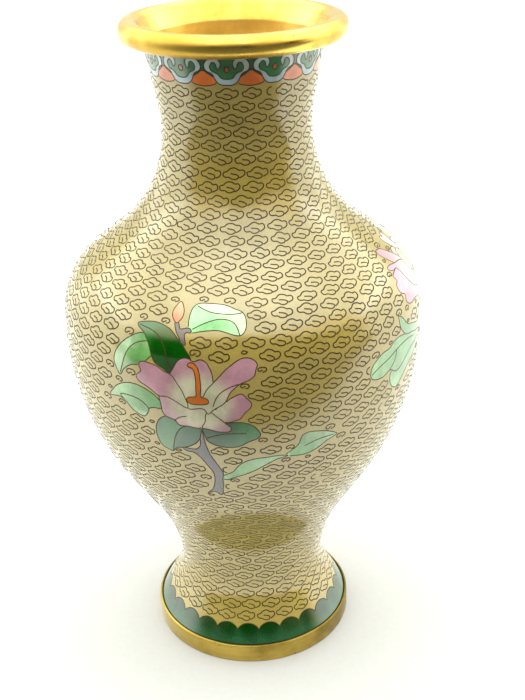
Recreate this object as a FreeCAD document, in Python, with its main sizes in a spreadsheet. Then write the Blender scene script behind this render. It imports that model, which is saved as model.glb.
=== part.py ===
import FreeCAD, Part
import math
import os
import Sketcher
from FreeCAD import Rotation, Vector

# Cloisonne vase: spun copper body, gilt brass mouth and foot rings, and a skin of
# enamel cells divided by fine wires.  Millimetres, +Z up, the vase stands on z = 0 with
# its axis on Z.  The magnolia spray faces -Y.

os.makedirs("parts", exist_ok=True)
doc = FreeCAD.newDocument("cloisonne_vase")
sheet = doc.addObject("Spreadsheet::Sheet", "Dims")

DIMENSIONS = [
    # body outline: tangent lines and arcs, from the foot to the mouth
    ("flare_angle", 31.5, "foot flare, degrees from vertical"),
    ("waist_arc", 20.5, "hollow arc above the foot"),
    ("waist_rad", 29.6, "narrowest radius above the foot"),
    ("waist_height", 30.6, "height of that narrowest point"),
    ("flank_arc", 75.0, "hollow arc below the flank"),
    ("flank_angle", 32.0, "flank, degrees from vertical"),
    ("belly_arc", 114.0, "belly arc"),
    ("belly_rad", 68.75, "widest radius"),
    ("belly_height", 140.5, "height of the widest point"),
    ("knuckle_arc", 29.0, "round of the shoulder"),
    ("shoulder_angle", 53.0, "shoulder slope, degrees from vertical"),
    ("throat_arc", 49.0, "hollow arc of the neck"),
    ("throat_rad", 27.45, "narrowest radius of the neck"),
    ("throat_height", 216.0, "height of that narrowest point"),
    ("lip_angle", 10.5, "opening of the neck, degrees from vertical"),
    ("skin_low", 8.1, "bottom edge of the body, on the foot ring"),
    ("skin_high", 247.0, "top edge of the body, under the mouth ring"),
    # wall
    ("enamel_depth", 1.0, "enamel on the copper"),
    ("copper_gauge", 1.0, "copper wall"),
    ("lining_depth", 0.6, "counter enamel inside"),
    ("lining_low", 9.1, "lower edge of the lining"),
    ("lining_high", 190.0, "upper edge of the lining"),
    ("foot_joint", 52.0, "solder joint between foot and belly"),
    ("neck_joint", 186.0, "solder joint between belly and neck"),
    # mouth ring
    ("roll_centre", 36.7, "radius of the roll's centre line"),
    ("roll_rad", 3.9, "radius of the roll"),
    ("roll_height", 250.1, "height of the roll's centre line"),
    ("mouth_bore", 30.3, "radius of the mouth where it meets the neck"),
    # foot
    ("ring_rad", 41.15, "outside of the foot ring"),
    ("ring_band", 2.4, "thickness of the ring's band"),
    ("ring_shelf", 36.0, "inner radius of the ring's shelf"),
    ("shelf_gauge", 1.5, "thickness of the shelf"),
    ("ring_round", 0.7, "rounding of the ring's edges"),
    ("plate_rad", 36.8, "base plate"),
    ("plate_gauge", 1.0, "base plate thickness"),
    ("base_enamel_rad", 35.8, "counter enamel under the base plate"),
    ("base_enamel_depth", 0.6, "its thickness"),
    # decoration
    ("wire_gauge", 0.3, "width of the wires"),
    ("heads", 12, "ruyi heads round the collar"),
    ("head_turn", -5.0, "direction of the first head, degrees from -Y"),
    ("scallops", 26, "scallops round the foot"),
    ("scallop_turn", 9.5, "direction of the first scallop, degrees from -Y"),
    ("scallop_base", 11.4, "height of the scallops' centres"),
    ("scallop_half", 4.9, "half width of a scallop"),
    ("scallop_rise", 4.0, "rise of a scallop"),
    ("magnolia_turn", -10.0, "direction the magnolia faces, degrees from -Y"),
    ("peony_turn", 84.0, "direction the pink peony faces"),
    ("blue_peony_turn", -122.0, "direction the blue peony faces"),
]
for row, (name, value, note) in enumerate(DIMENSIONS, start=1):
    sheet.set("A%d" % row, name)
    sheet.set("B%d" % row, str(value))
    sheet.setAlias("B%d" % row, name)
    sheet.set("C%d" % row, note)
doc.recompute()


def dim(name):
    return float(sheet.get(name))


REACH = 100.0       # beyond every radius of the vase
CORE = 20.0         # inside the enamel at every height
SLIVER = 0.15       # shavings under this volume are dropped

# ---------------------------------------------------------------- body outline


def lean(degrees):
    """Unit vector along a line that leans outward by that angle from vertical."""
    a = math.radians(degrees)
    return Vector(math.sin(a), math.cos(a), 0)


def outward(degrees):
    """Unit normal of that line, pointing away from the axis."""
    a = math.radians(degrees)
    return Vector(math.cos(a), -math.sin(a), 0)


def outline(depth):
    """The outline as a list of lines and arcs, at a depth below the enamel surface."""
    waist_c = Vector(dim("waist_rad") + dim("waist_arc"), dim("waist_height"), 0)
    belly_c = Vector(dim("belly_rad") - dim("belly_arc"), dim("belly_height"), 0)
    throat_c = Vector(dim("throat_rad") + dim("throat_arc"), dim("throat_height"), 0)
    flare, flank = -dim("flare_angle"), dim("flank_angle")
    shoulder, lip = -dim("shoulder_angle"), dim("lip_angle")
    # the flank line touches the flank arc and the belly arc, which fixes the lean at
    # which the waist arc hands over to the flank arc; the shoulder works the same way
    n = outward(flank)
    reach = belly_c.dot(n) + dim("belly_arc") + dim("flank_arc") - waist_c.dot(n)
    low_turn = flank - math.degrees(math.acos(reach / (dim("flank_arc") - dim("waist_arc"))))
    flank_c = waist_c + outward(low_turn) * (dim("flank_arc") - dim("waist_arc"))
    n = outward(shoulder)
    reach = (throat_c - belly_c).dot(n) - dim("throat_arc") - dim("knuckle_arc")
    high_turn = shoulder + math.degrees(
        math.acos(reach / (dim("belly_arc") - dim("knuckle_arc"))))
    knuckle_c = belly_c + outward(high_turn) * (dim("belly_arc") - dim("knuckle_arc"))
    hollow = [("waist", waist_c, dim("waist_arc") + depth, flare, low_turn),
              ("flank", flank_c, dim("flank_arc") + depth, low_turn, flank)]
    full = [("belly", belly_c, dim("belly_arc") - depth, flank, high_turn),
            ("knuckle", knuckle_c, dim("knuckle_arc") - depth, high_turn, shoulder)]
    throat = [("throat", throat_c, dim("throat_arc") + depth, shoulder, lip)]
    chain = [("line", "flare", flare)]
    chain += [("hollow",) + arc for arc in hollow]
    chain += [("line", "flank_line", flank)]
    chain += [("full",) + arc for arc in full]
    chain += [("line", "shoulder_line", shoulder)]
    chain += [("hollow",) + arc for arc in throat]
    chain += [("line", "lip_line", lip)]
    return chain


def arc_point(kind, centre, radius, degrees):
    side = -1 if kind == "hollow" else 1
    return centre + outward(degrees) * (side * radius)


def outline_pieces(depth, low, high):
    """Sketch geometry of the outline; each entry is (name, shape, lower end, upper end)."""
    chain = outline(depth)
    pieces = []
    for i, item in enumerate(chain):
        if item[0] == "line":
            slope = lean(item[2])
            if i == 0:
                end = arc_point(chain[1][0], *chain[1][2:4], chain[1][4])
                start = end - slope * ((end.y - low) / slope.y)
            elif i == len(chain) - 1:
                start = arc_point(chain[i - 1][0], *chain[i - 1][2:4], chain[i - 1][5])
                end = start + slope * ((high - start.y) / slope.y)
            else:
                start = arc_point(chain[i - 1][0], *chain[i - 1][2:4], chain[i - 1][5])
                end = arc_point(chain[i + 1][0], *chain[i + 1][2:4], chain[i + 1][4])
            pieces.append((item[1], Part.LineSegment(start, end), 1, 2))
            continue
        kind, name, centre, radius, low_lean, high_lean = item
        circle = Part.Circle(centre, Vector(0, 0, 1), radius)
        if kind == "hollow":
            first, last = 180 - high_lean, 180 - low_lean
            ends = (2, 1)
        else:
            first, last = -low_lean, -high_lean
            ends = (1, 2)
        arc = Part.ArcOfCircle(circle, math.radians(first), math.radians(last))
        pieces.append((name, arc) + ends)
    return pieces


class Profile:
    """A sketch in a body's XZ plane whose sizes are tied to the sheet."""

    def __init__(self, label, seam_turn=0.0):
        self.body = doc.addObject("PartDesign::Body", label)
        self.body.Label = label
        plane = [f for f in self.body.Origin.OriginFeatures if f.Role == "XZ_Plane"][0]
        self.sketch = self.body.newObject("Sketcher::SketchObject", label + "_sketch")
        self.sketch.AttachmentSupport = [(plane, "")]
        self.sketch.MapMode = "FlatFace"
        if seam_turn:
            self.body.Placement.Rotation = Rotation(Vector(0, 0, 1), seam_turn)

    def add(self, shape):
        return self.sketch.addGeometry(shape, False)

    def rule(self, kind, *where):
        return self.sketch.addConstraint(Sketcher.Constraint(kind, *where))

    def size(self, kind, name, expression, *where):
        index = self.rule(kind, *where)
        self.sketch.renameConstraint(index, name)
        self.sketch.setExpression("Constraints." + name, expression)

    def revolve(self):
        turn = self.body.newObject("PartDesign::Revolution", self.body.Label + "_turn")
        turn.Profile = self.sketch
        turn.ReferenceAxis = (self.sketch, ["V_Axis"])
        turn.Angle = 360
        doc.recompute()
        return turn


def chain_into(profile, tag, depth, depth_rule, low, low_rule, high, high_rule):
    """Draw one outline at a depth and constrain it; returns its two free ends."""
    pieces = outline_pieces(depth, low, high)
    ids = [profile.add(shape) for _, shape, _, _ in pieces]
    for i in range(len(pieces) - 1):
        profile.rule("Tangent", ids[i], pieces[i][3], ids[i + 1], pieces[i + 1][2])
    leans = {"flare": "90 + Dims.flare_angle", "flank_line": "90 - Dims.flank_angle",
             "shoulder_line": "90 + Dims.shoulder_angle", "lip_line": "90 - Dims.lip_angle"}
    radii = {"waist": "Dims.waist_arc + ", "flank": "Dims.flank_arc + ",
             "throat": "Dims.throat_arc + ", "belly": "Dims.belly_arc - ",
             "knuckle": "Dims.knuckle_arc - "}
    centres = {"waist": ("Dims.waist_rad + Dims.waist_arc", "Dims.waist_height"),
               "belly": ("Dims.belly_rad - Dims.belly_arc", "Dims.belly_height"),
               "throat": ("Dims.throat_rad + Dims.throat_arc", "Dims.throat_height")}
    for geo, (name, shape, _, _) in zip(ids, pieces):
        if name in leans:
            run = shape.EndPoint - shape.StartPoint
            profile.size("Angle", tag + name, "(%s) * 1 deg" % leans[name],
                         geo, math.atan2(run.y, run.x))
        else:
            profile.size("Radius", tag + name, radii[name] + "(%s)" % depth_rule,
                         geo, shape.Radius)
        if name in centres:
            across, up = centres[name]
            profile.size("DistanceX", tag + name + "_x", across, -1, 1, geo, 3, shape.Center.x)
            profile.size("DistanceY", tag + name + "_z", up, -1, 1, geo, 3, shape.Center.y)
    bottom, top = (ids[0], pieces[0][2]), (ids[-1], pieces[-1][3])
    profile.size("DistanceY", tag + "low", low_rule, -1, 1, bottom[0], bottom[1], low)
    profile.size("DistanceY", tag + "high", high_rule, -1, 1, top[0], top[1], high)
    return bottom, top, pieces[0][1].StartPoint, pieces[-1][1].EndPoint


def layer(label, near_rule, far_rule):
    """A spun layer between two depths below the enamel surface."""
    depths = {"0": 0.0,
              "Dims.enamel_depth": dim("enamel_depth"),
              "Dims.enamel_depth + Dims.copper_gauge":
                  dim("enamel_depth") + dim("copper_gauge"),
              "Dims.enamel_depth + Dims.copper_gauge + Dims.lining_depth":
                  dim("enamel_depth") + dim("copper_gauge") + dim("lining_depth")}
    profile = Profile(label, 90)
    low, high = dim("skin_low"), dim("skin_high")
    sides = []
    for tag, rule in (("near_", near_rule), ("far_", far_rule)):
        sides.append(chain_into(profile, tag, depths[rule], rule, low, "Dims.skin_low",
                                high, "Dims.skin_high"))
    for end, point in ((0, 2), (1, 3)):
        cap = profile.add(Part.LineSegment(sides[0][point], sides[1][point]))
        profile.rule("Coincident", cap, 1, *sides[0][end])
        profile.rule("Coincident", cap, 2, *sides[1][end])
    profile.revolve()
    return profile.body


def slab(label, low_rule, high_rule):
    """A plain disc between two heights, used to cut a layer into bands."""
    tool = doc.addObject("Part::Cylinder", label)
    tool.Radius = REACH
    tool.setExpression("Height", "(%s) - (%s)" % (high_rule, low_rule))
    tool.setExpression("Placement.Base.z", low_rule)
    return tool


def band(label, source, low_rule, high_rule):
    piece = doc.addObject("Part::Common", label)
    piece.Label = label
    piece.Base = source
    piece.Tool = slab(label + "_slab", low_rule, high_rule)
    return piece


enamel = layer("enamel_layer", "0", "Dims.enamel_depth")
copper = layer("copper_layer", "Dims.enamel_depth", "Dims.enamel_depth + Dims.copper_gauge")
lining = layer("lining_layer", "Dims.enamel_depth + Dims.copper_gauge",
               "Dims.enamel_depth + Dims.copper_gauge + Dims.lining_depth")

nodes = [
    band("foot_shell", copper, "Dims.skin_low", "Dims.foot_joint"),
    band("belly_shell", copper, "Dims.foot_joint", "Dims.neck_joint"),
    band("neck_shell", copper, "Dims.neck_joint", "Dims.skin_high"),
    band("lining_enamel", lining, "Dims.lining_low", "Dims.lining_high"),
]

# ---------------------------------------------------------------- rings and base

mouth = Profile("mouth_ring", 90)
roll_c = Vector(dim("roll_centre"), dim("roll_height"), 0)
drop = roll_c.y - dim("skin_high")
foot_point = Vector(roll_c.x - math.sqrt(dim("roll_rad") ** 2 - drop ** 2), dim("skin_high"), 0)
bore_point = Vector(dim("mouth_bore"), dim("skin_high"), 0)
away = bore_point - roll_c
touch = math.atan2(away.y, away.x) - math.acos(dim("roll_rad") / away.Length)
start = math.atan2(foot_point.y - roll_c.y, foot_point.x - roll_c.x)
roll = Part.ArcOfCircle(Part.Circle(roll_c, Vector(0, 0, 1), dim("roll_rad")),
                        start, touch + 2 * math.pi)
seat = mouth.add(Part.LineSegment(bore_point, foot_point))
roll_id = mouth.add(roll)
throat_line = mouth.add(Part.LineSegment(roll.EndPoint, bore_point))
mouth.rule("Coincident", seat, 2, roll_id, 1)
mouth.rule("Tangent", roll_id, 2, throat_line, 1)
mouth.rule("Coincident", throat_line, 2, seat, 1)
mouth.rule("Horizontal", seat)
mouth.size("DistanceX", "bore", "Dims.mouth_bore", -1, 1, seat, 1, bore_point.x)
mouth.size("DistanceY", "seat_z", "Dims.skin_high", -1, 1, seat, 1, bore_point.y)
mouth.size("DistanceX", "roll_x", "Dims.roll_centre", -1, 1, roll_id, 3, roll_c.x)
mouth.size("DistanceY", "roll_z", "Dims.roll_height", -1, 1, roll_id, 3, roll_c.y)
mouth.size("Radius", "roll_r", "Dims.roll_rad", roll_id, dim("roll_rad"))
mouth.revolve()

foot = Profile("foot_ring", 90)
band_in = dim("ring_rad") - dim("ring_band")
shelf_low = dim("skin_low") - dim("shelf_gauge")
corners = [Vector(band_in, 0, 0), Vector(dim("ring_rad"), 0, 0),
           Vector(dim("ring_rad"), dim("skin_low"), 0), Vector(dim("ring_shelf"), dim("skin_low"), 0),
           Vector(dim("ring_shelf"), shelf_low, 0), Vector(band_in, shelf_low, 0)]
edges = [foot.add(Part.LineSegment(corners[i], corners[(i + 1) % 6])) for i in range(6)]
for i in range(6):
    foot.rule("Coincident", edges[i], 2, edges[(i + 1) % 6], 1)
    foot.rule("Horizontal" if i % 2 == 0 else "Vertical", edges[i])
foot.size("DistanceX", "outside", "Dims.ring_rad", -1, 1, edges[1], 1, dim("ring_rad"))
foot.size("DistanceX", "inside", "Dims.ring_rad - Dims.ring_band", -1, 1, edges[0], 1, band_in)
foot.size("DistanceX", "shelf", "Dims.ring_shelf", -1, 1, edges[3], 1, dim("ring_shelf"))
foot.size("DistanceY", "top", "Dims.skin_low", -1, 1, edges[1], 2, dim("skin_low"))
foot.size("DistanceY", "under", "Dims.skin_low - Dims.shelf_gauge", -1, 1, edges[4], 1, shelf_low)
foot.rule("PointOnObject", edges[0], 1, -1)
ring_turn = foot.revolve()
outer_edges = []
for i, edge in enumerate(ring_turn.Shape.Edges, start=1):
    curve = edge.Curve
    if isinstance(curve, Part.Circle) and abs(curve.Radius - dim("ring_rad")) < 0.01:
        outer_edges.append("Edge%d" % i)
rounding = foot.body.newObject("PartDesign::Fillet", "foot_ring_round")
rounding.Base = (ring_turn, outer_edges)
rounding.setExpression("Radius", "Dims.ring_round")
doc.recompute()


def disc(label, radius_rule, height_rule, low_rule):
    """A round plate padded upward from a circle on the XY plane."""
    body = doc.addObject("PartDesign::Body", label)
    body.Label = label
    plane = [f for f in body.Origin.OriginFeatures if f.Role == "XY_Plane"][0]
    sketch = body.newObject("Sketcher::SketchObject", label + "_sketch")
    sketch.AttachmentSupport = [(plane, "")]
    sketch.MapMode = "FlatFace"
    circle = sketch.addGeometry(Part.Circle(Vector(0, 0, 0), Vector(0, 0, 1), 30), False)
    sketch.addConstraint(Sketcher.Constraint("Coincident", circle, 3, -1, 1))
    sketch.addConstraint(Sketcher.Constraint("Radius", circle, 30))
    sketch.renameConstraint(1, "edge")
    sketch.setExpression("Constraints.edge", radius_rule)
    pad = body.newObject("PartDesign::Pad", label + "_pad")
    pad.Profile = sketch
    pad.setExpression("Length", height_rule)
    body.setExpression("Placement.Base.z", low_rule)
    return body


nodes += [
    mouth.body,
    foot.body,
    disc("base_plate", "Dims.plate_rad", "Dims.plate_gauge", "Dims.skin_low"),
    disc("base_enamel", "Dims.base_enamel_rad", "Dims.base_enamel_depth",
         "Dims.skin_low - Dims.base_enamel_depth"),
]
doc.recompute()
skin = enamel.Shape

# ---------------------------------------------------------------- drawing the cells
# Each picture is drawn flat, as seen when the vase is turned to face it: across, up.
# Shapes are listed from the topmost down; a vein is a wire inside the shape under it.


def closed_curve(points):
    curve = Part.BSplineCurve()
    curve.interpolate([Vector(x, 0, z) for x, z in points], PeriodicFlag=True)
    return curve


def curve_face(points):
    """A flat face inside the curve, whose edge is split every few points."""
    curve = closed_curve(points)
    first, last = curve.FirstParameter, curve.LastParameter
    count = max(2, len(points) // 5)
    cuts = [first + (last - first) * k / count for k in range(count + 1)]
    return Part.Face(Part.Wire([curve.toShape(a, b) for a, b in zip(cuts, cuts[1:])]))


def turning(points):
    """Signed area: positive when the points run anticlockwise."""
    total = 0.0
    for (x0, z0), (x1, z1) in zip(points, points[1:] + points[:1]):
        total += x0 * z1 - x1 * z0
    return total / 2


def grown(points, amount):
    """Points of the same curve moved outward by an amount."""
    curve = closed_curve(points)
    sense = 1 if turning(points) > 0 else -1
    moved = []
    for x, z in points:
        here = Vector(x, 0, z)
        along = curve.tangent(curve.parameter(here))[0]
        spot = here + Vector(along.z, 0, -along.x) * (sense * amount)
        nearest = curve.value(curve.parameter(spot))
        if (spot - nearest).Length > 0.8 * abs(amount):
            moved.append((spot.x, spot.z))
    return moved


def vein_face(points, width):
    """A wire along an open curve."""
    curve = Part.BSplineCurve()
    curve.interpolate([Vector(x, 0, z) for x, z in points])
    sides = []
    for half in (width / 2, -width / 2):
        side = []
        for x, z in points:
            here = Vector(x, 0, z)
            along = curve.tangent(curve.parameter(here))[0]
            side.append(here + Vector(along.z, 0, -along.x) * half)
        spline = Part.BSplineCurve()
        spline.interpolate(side)
        sides.append((spline.toShape(), side))
    caps = [Part.makeLine(sides[0][1][k], sides[1][1][k]) for k in (0, -1)]
    return Part.Face(Part.Wire(Part.__sortEdges__([sides[0][0], caps[1], sides[1][0], caps[0]])))


def near(face, others):
    box = face.BoundBox
    return [o for o in others if box.intersect(o.BoundBox)]


def uncovered(face, covers):
    tools = near(face, covers)
    return face.cut(tools) if tools else face


def picture(shapes):
    """Split a drawing into coloured cells and the wires between them.

    Also returns the outlines, wires included, that the ground enamel leaves open."""
    gauge = dim("wire_gauge")
    cells, wires, covers, outlines = {}, [], [], []
    for kind, points in shapes:
        if kind == "vein":
            face = vein_face(points, gauge)
            wires.append(uncovered(face, covers))
            covers.append(face)
            continue
        outer = curve_face(grown(points, gauge / 2))
        inner = curve_face(grown(points, -gauge / 2))
        cells.setdefault(kind, []).append(uncovered(inner, covers))
        wires.append(uncovered(outer.cut(inner), covers))
        covers.append(outer)
        outlines.append(outer)
    return cells, wires, outlines


def prisms(shapes, turn):
    """Solid bars standing on flat faces, turned to face their direction."""
    bars = []
    for face in [f for shape in shapes for f in shape.Faces]:
        bar = face.translated(Vector(0, -CORE, 0)).extrude(Vector(0, CORE - REACH, 0))
        bar.rotate(Vector(0, 0, 0), Vector(0, 0, 1), turn)
        bars.append(bar)
    return bars


def solids_of(shapes):
    found = []
    for shape in shapes:
        found += [s for s in shape.Solids if s.Volume > SLIVER]
    return found


def on_skin(faces, turn):
    """The parts of the enamel layer that lie under flat faces."""
    return solids_of([skin.common(bar) for bar in prisms(faces, turn)])


def node(label, solids):
    part = doc.addObject("Part::Feature", label)
    part.Label = label
    part.Shape = Part.makeCompound(solids) if len(solids) > 1 else solids[0]
    nodes.append(part)
    return part


def mirrored(shapes):
    return [(kind, [(-x, z) for x, z in reversed(points)]) for kind, points in shapes]


MAGNOLIA = [
    ("stamen", [(-7.9, 150.7), (-7.6, 151.5), (-6.5, 151.9), (-5.3, 151.4), (-4.4, 150.2),
                (-3.8, 147.9), (-3.6, 144.8), (-3.6, 141.8), (-3.4, 139.4), (-2.2, 139.1),
                (-1.1, 138.3), (-1.3, 137.1), (-3.0, 136.5), (-5.2, 136.3), (-7.4, 136.5),
                (-8.7, 137.4), (-8.5, 138.7), (-7.0, 139.2), (-5.6, 139.5), (-5.3, 141.8),
                (-5.2, 144.3), (-5.3, 146.9), (-5.7, 148.9), (-6.5, 150.0)]),
    ("vein", [(-13.8, 128.6), (-11.6, 130.5), (-9.3, 131.1)]),
    ("vein", [(0.4, 135.9), (1.2, 138.3), (2.4, 140.4), (4.2, 142.2), (6.6, 143.6), (9.4, 144.7)]),
    ("petal", [(-25.5, 149.2), (-22.2, 149.6), (-19.1, 149.1), (-17.2, 148.0), (-14.2, 146.8),
               (-11.9, 143.8), (-10.4, 141.3), (-9.4, 138.8), (-8.6, 136.5), (-8.6, 134.7),
               (-10.8, 135.5), (-13.7, 137.1), (-16.3, 138.0), (-18.8, 137.8), (-21.3, 139.3),
               (-24.7, 141.1), (-26.9, 142.5), (-27.3, 143.8), (-26.2, 145.0), (-25.3, 146.3),
               (-25.9, 147.7)]),
    ("petal", [(-3.5, 139.1), (-1.8, 141.8), (0.6, 144.8), (3.0, 147.5), (5.3, 150.1),
               (7.7, 152.1), (10.0, 153.6), (12.3, 154.0), (14.3, 153.3), (15.7, 151.5),
               (15.2, 149.7), (15.0, 148.2), (14.0, 146.8), (12.1, 145.7), (10.0, 144.8),
               (8.1, 143.2), (6.5, 141.4), (5.5, 139.4), (4.4, 137.5), (2.2, 135.8),
               (0.2, 134.3), (-1.6, 132.9), (-2.6, 134.4), (-4.8, 134.8), (-7.1, 134.3),
               (-9.1, 134.9), (-9.3, 137.2), (-6.6, 138.4)]),
    ("petal", [(-14.5, 146.5), (-13.0, 149.4), (-11.5, 151.9), (-9.4, 153.2), (-7.4, 153.1),
               (-5.7, 152.3), (-4.0, 153.0), (-1.9, 152.7), (-0.5, 150.9), (0.5, 148.4),
               (0.8, 145.3), (0.5, 140.8), (-2.4, 137.2), (-7.2, 136.7), (-11.4, 140.3)]),
    ("petal", [(-1.8, 133.3), (-2.6, 130.7), (-3.1, 128.8), (-4.0, 127.2), (-1.8, 126.5),
               (1.2, 125.7), (4.1, 125.6), (5.9, 126.2), (6.2, 127.2), (5.0, 128.6),
               (3.1, 130.5), (1.2, 132.1), (-0.5, 133.5)]),
    ("petal", [(-1.9, 132.6), (0.6, 134.5), (3.0, 136.4), (5.0, 137.9), (6.6, 139.3),
               (8.4, 140.4), (10.2, 141.0), (11.6, 139.8), (12.6, 138.6), (13.5, 137.2),
               (13.1, 135.5), (11.6, 133.9), (10.5, 132.5), (9.5, 131.2), (8.0, 130.5),
               (6.0, 129.8), (3.8, 129.8), (1.8, 130.2), (-0.6, 130.7)]),
    ("petal", [(-18.9, 137.6), (-18.5, 134.7), (-18.3, 132.4), (-17.6, 130.6), (-15.7, 129.5),
               (-13.4, 128.6), (-12.5, 127.3), (-10.0, 127.0), (-7.1, 126.8), (-4.4, 126.9),
               (-3.1, 128.6), (-2.6, 130.7), (-2.4, 132.7), (-1.7, 134.1), (-3.6, 135.9),
               (-8.4, 136.2), (-13.1, 137.7)]),
    ("bud", [(-12.2, 163.6), (-13.3, 164.5), (-13.9, 165.7), (-13.7, 166.8), (-12.7, 168.1),
             (-11.2, 169.1), (-10.3, 168.1), (-9.9, 166.8), (-10.2, 165.4), (-11.2, 164.2)]),
    ("branch", [(-12.6, 163.9), (-12.5, 162.3), (-11.9, 160.7), (-10.9, 159.3), (-10.1, 157.8),
                (-8.8, 157.4), (-9.0, 159.4), (-8.6, 161.1), (-6.8, 161.4), (-6.9, 162.0),
                (-9.2, 162.3), (-10.9, 162.2), (-11.6, 163.9)]),
    ("vein", [(-5.4, 168.5), (-2.0, 167.4), (1.0, 166.9), (4.2, 166.7), (7.3, 166.7), (10.1, 167.0)]),
    ("vein", [(-7.2, 161.9), (-3.3, 163.8), (0.0, 164.9), (3.2, 165.4), (5.3, 165.2), (7.6, 164.3),
              (8.8, 162.9), (9.7, 161.0)]),
    ("pale_leaf", [(-7.4, 161.5), (-7.9, 164.3), (-7.6, 166.4), (-6.5, 168.3), (-5.0, 169.0),
                   (-2.0, 169.2), (2.0, 169.1), (5.0, 168.7), (7.6, 167.9), (10.0, 167.1),
                   (11.2, 165.7), (11.6, 163.9), (11.3, 162.1), (10.2, 161.0), (8.4, 160.9),
                   (5.6, 161.6), (2.2, 162.3), (-1.1, 162.1), (-4.5, 161.6)]),
    ("vein", [(-25.6, 161.4), (-23.2, 161.0), (-20.1, 160.2), (-17.6, 158.3), (-16.0, 154.9),
              (-15.0, 151.4), (-14.2, 148.0)]),
    ("dark_leaf", [(-26.4, 161.4), (-24.7, 162.3), (-22.2, 162.8), (-19.6, 163.0), (-16.5, 162.5),
                   (-13.9, 161.4), (-11.9, 159.6), (-9.8, 157.6), (-8.2, 155.4), (-6.8, 153.3),
                   (-7.7, 149.9), (-10.7, 147.9), (-13.9, 146.9), (-16.5, 148.4), (-19.9, 150.4),
                   (-21.1, 152.9), (-21.8, 155.4), (-23.1, 158.1), (-24.5, 159.8), (-25.9, 160.7)]),
    ("vein", [(-21.9, 157.0), (-26.1, 155.9), (-29.4, 153.4), (-31.5, 149.9), (-32.7, 146.4),
              (-33.8, 143.0)]),
    ("pale_leaf", [(-21.6, 158.7), (-25.1, 159.0), (-28.6, 157.4), (-31.4, 155.4), (-33.8, 152.9),
                   (-35.5, 149.9), (-36.1, 147.4), (-35.7, 145.2), (-34.7, 143.1), (-34.0, 142.2),
                   (-33.2, 143.0), (-32.5, 144.4), (-31.1, 145.9), (-28.9, 147.4), (-25.6, 148.4),
                   (-23.3, 150.1), (-21.3, 152.1), (-19.0, 155.4)]),
    ("pale_leaf", [(-34.6, 133.9), (-30.7, 134.8), (-26.9, 134.3), (-24.2, 132.5), (-23.4, 131.3),
                   (-24.2, 129.2), (-25.3, 127.8), (-27.5, 128.0), (-30.5, 129.6), (-32.8, 132.1)]),
    ("pale_leaf", [(-39.3, 132.1), (-37.9, 134.7), (-35.5, 137.5), (-32.4, 139.4), (-29.1, 140.2),
                   (-25.3, 139.8), (-21.9, 138.4), (-19.3, 136.4), (-18.4, 134.7), (-18.4, 132.9),
                   (-21.8, 132.4), (-23.4, 131.5), (-26.7, 131.1), (-30.5, 131.3), (-34.0, 132.7),
                   (-36.3, 132.7)]),
    ("vein", [(-7.5, 127.4), (-11.2, 126.2), (-13.2, 123.8), (-14.4, 120.8), (-15.1, 118.1),
              (-15.6, 114.8)]),
    ("sage_leaf", [(-4.4, 127.1), (-7.7, 128.8), (-11.9, 129.8), (-16.5, 130.1), (-19.3, 128.4),
                   (-20.9, 125.6), (-21.4, 122.1), (-20.8, 118.6), (-19.3, 116.1), (-17.0, 114.9),
                   (-15.7, 114.6), (-14.6, 116.1), (-12.6, 116.9), (-9.8, 117.8), (-7.3, 119.4),
                   (-5.4, 121.6), (-4.6, 124.6)]),
    ("vein", [(11.4, 124.9), (7.1, 124.9), (2.9, 124.5), (-2.6, 122.6)]),
    ("sage_leaf", [(-3.8, 127.1), (-3.4, 124.1), (-2.6, 121.6), (-0.6, 120.0), (2.9, 118.9),
                   (5.8, 118.8), (9.3, 119.6), (12.0, 121.2), (14.5, 122.3), (16.0, 123.8),
                   (15.4, 125.9), (13.9, 127.9), (11.8, 129.1), (8.9, 129.7), (5.9, 129.5),
                   (1.8, 129.1), (-1.8, 128.6)]),
    ("branch", [(-4.2, 125.6), (-5.1, 121.1), (-5.8, 118.1), (-7.2, 117.1), (-9.4, 117.1),
                (-11.7, 116.7), (-11.0, 115.9), (-8.6, 115.6), (-6.4, 114.1), (-5.0, 112.3),
                (-3.9, 110.3), (-2.7, 108.3), (-1.8, 106.3), (-1.5, 103.9), (-1.7, 101.5),
                (-2.3, 98.9), (-3.3, 96.5), (-4.7, 94.9), (-5.3, 93.7), (-3.7, 95.0),
                (-2.2, 95.4), (-1.1, 94.6), (-0.3, 93.6), (0.4, 94.6), (0.8, 97.2),
                (1.3, 100.0), (1.3, 102.9), (1.8, 105.5), (1.0, 108.5), (-0.6, 111.9),
                (-2.1, 115.2), (-2.9, 118.1), (-3.5, 121.1)]),
    ("pale_leaf", [(1.1, 103.7), (2.8, 105.4), (5.6, 107.2), (7.3, 109.6), (9.6, 111.7),
                   (12.5, 112.9), (15.8, 113.4), (18.6, 113.6), (21.3, 113.8), (24.7, 113.2),
                   (21.7, 112.4), (19.0, 111.1), (16.1, 109.3), (13.3, 107.5), (10.5, 106.0),
                   (7.7, 104.8), (4.9, 103.6), (2.5, 102.7)]),
    ("vein", [(30.5, 116.4), (33.2, 117.6), (36.7, 118.4), (40.2, 118.5)]),
    ("pale_leaf", [(24.1, 113.3), (25.5, 115.1), (27.8, 116.9), (29.0, 118.9), (30.0, 121.4),
                   (31.6, 122.3), (34.6, 122.0), (37.5, 121.2), (39.7, 119.9), (41.2, 118.4),
                   (38.9, 117.1), (36.4, 115.4), (33.7, 113.6), (31.1, 112.6), (28.1, 112.5),
                   (25.5, 112.8)]),
]

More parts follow.
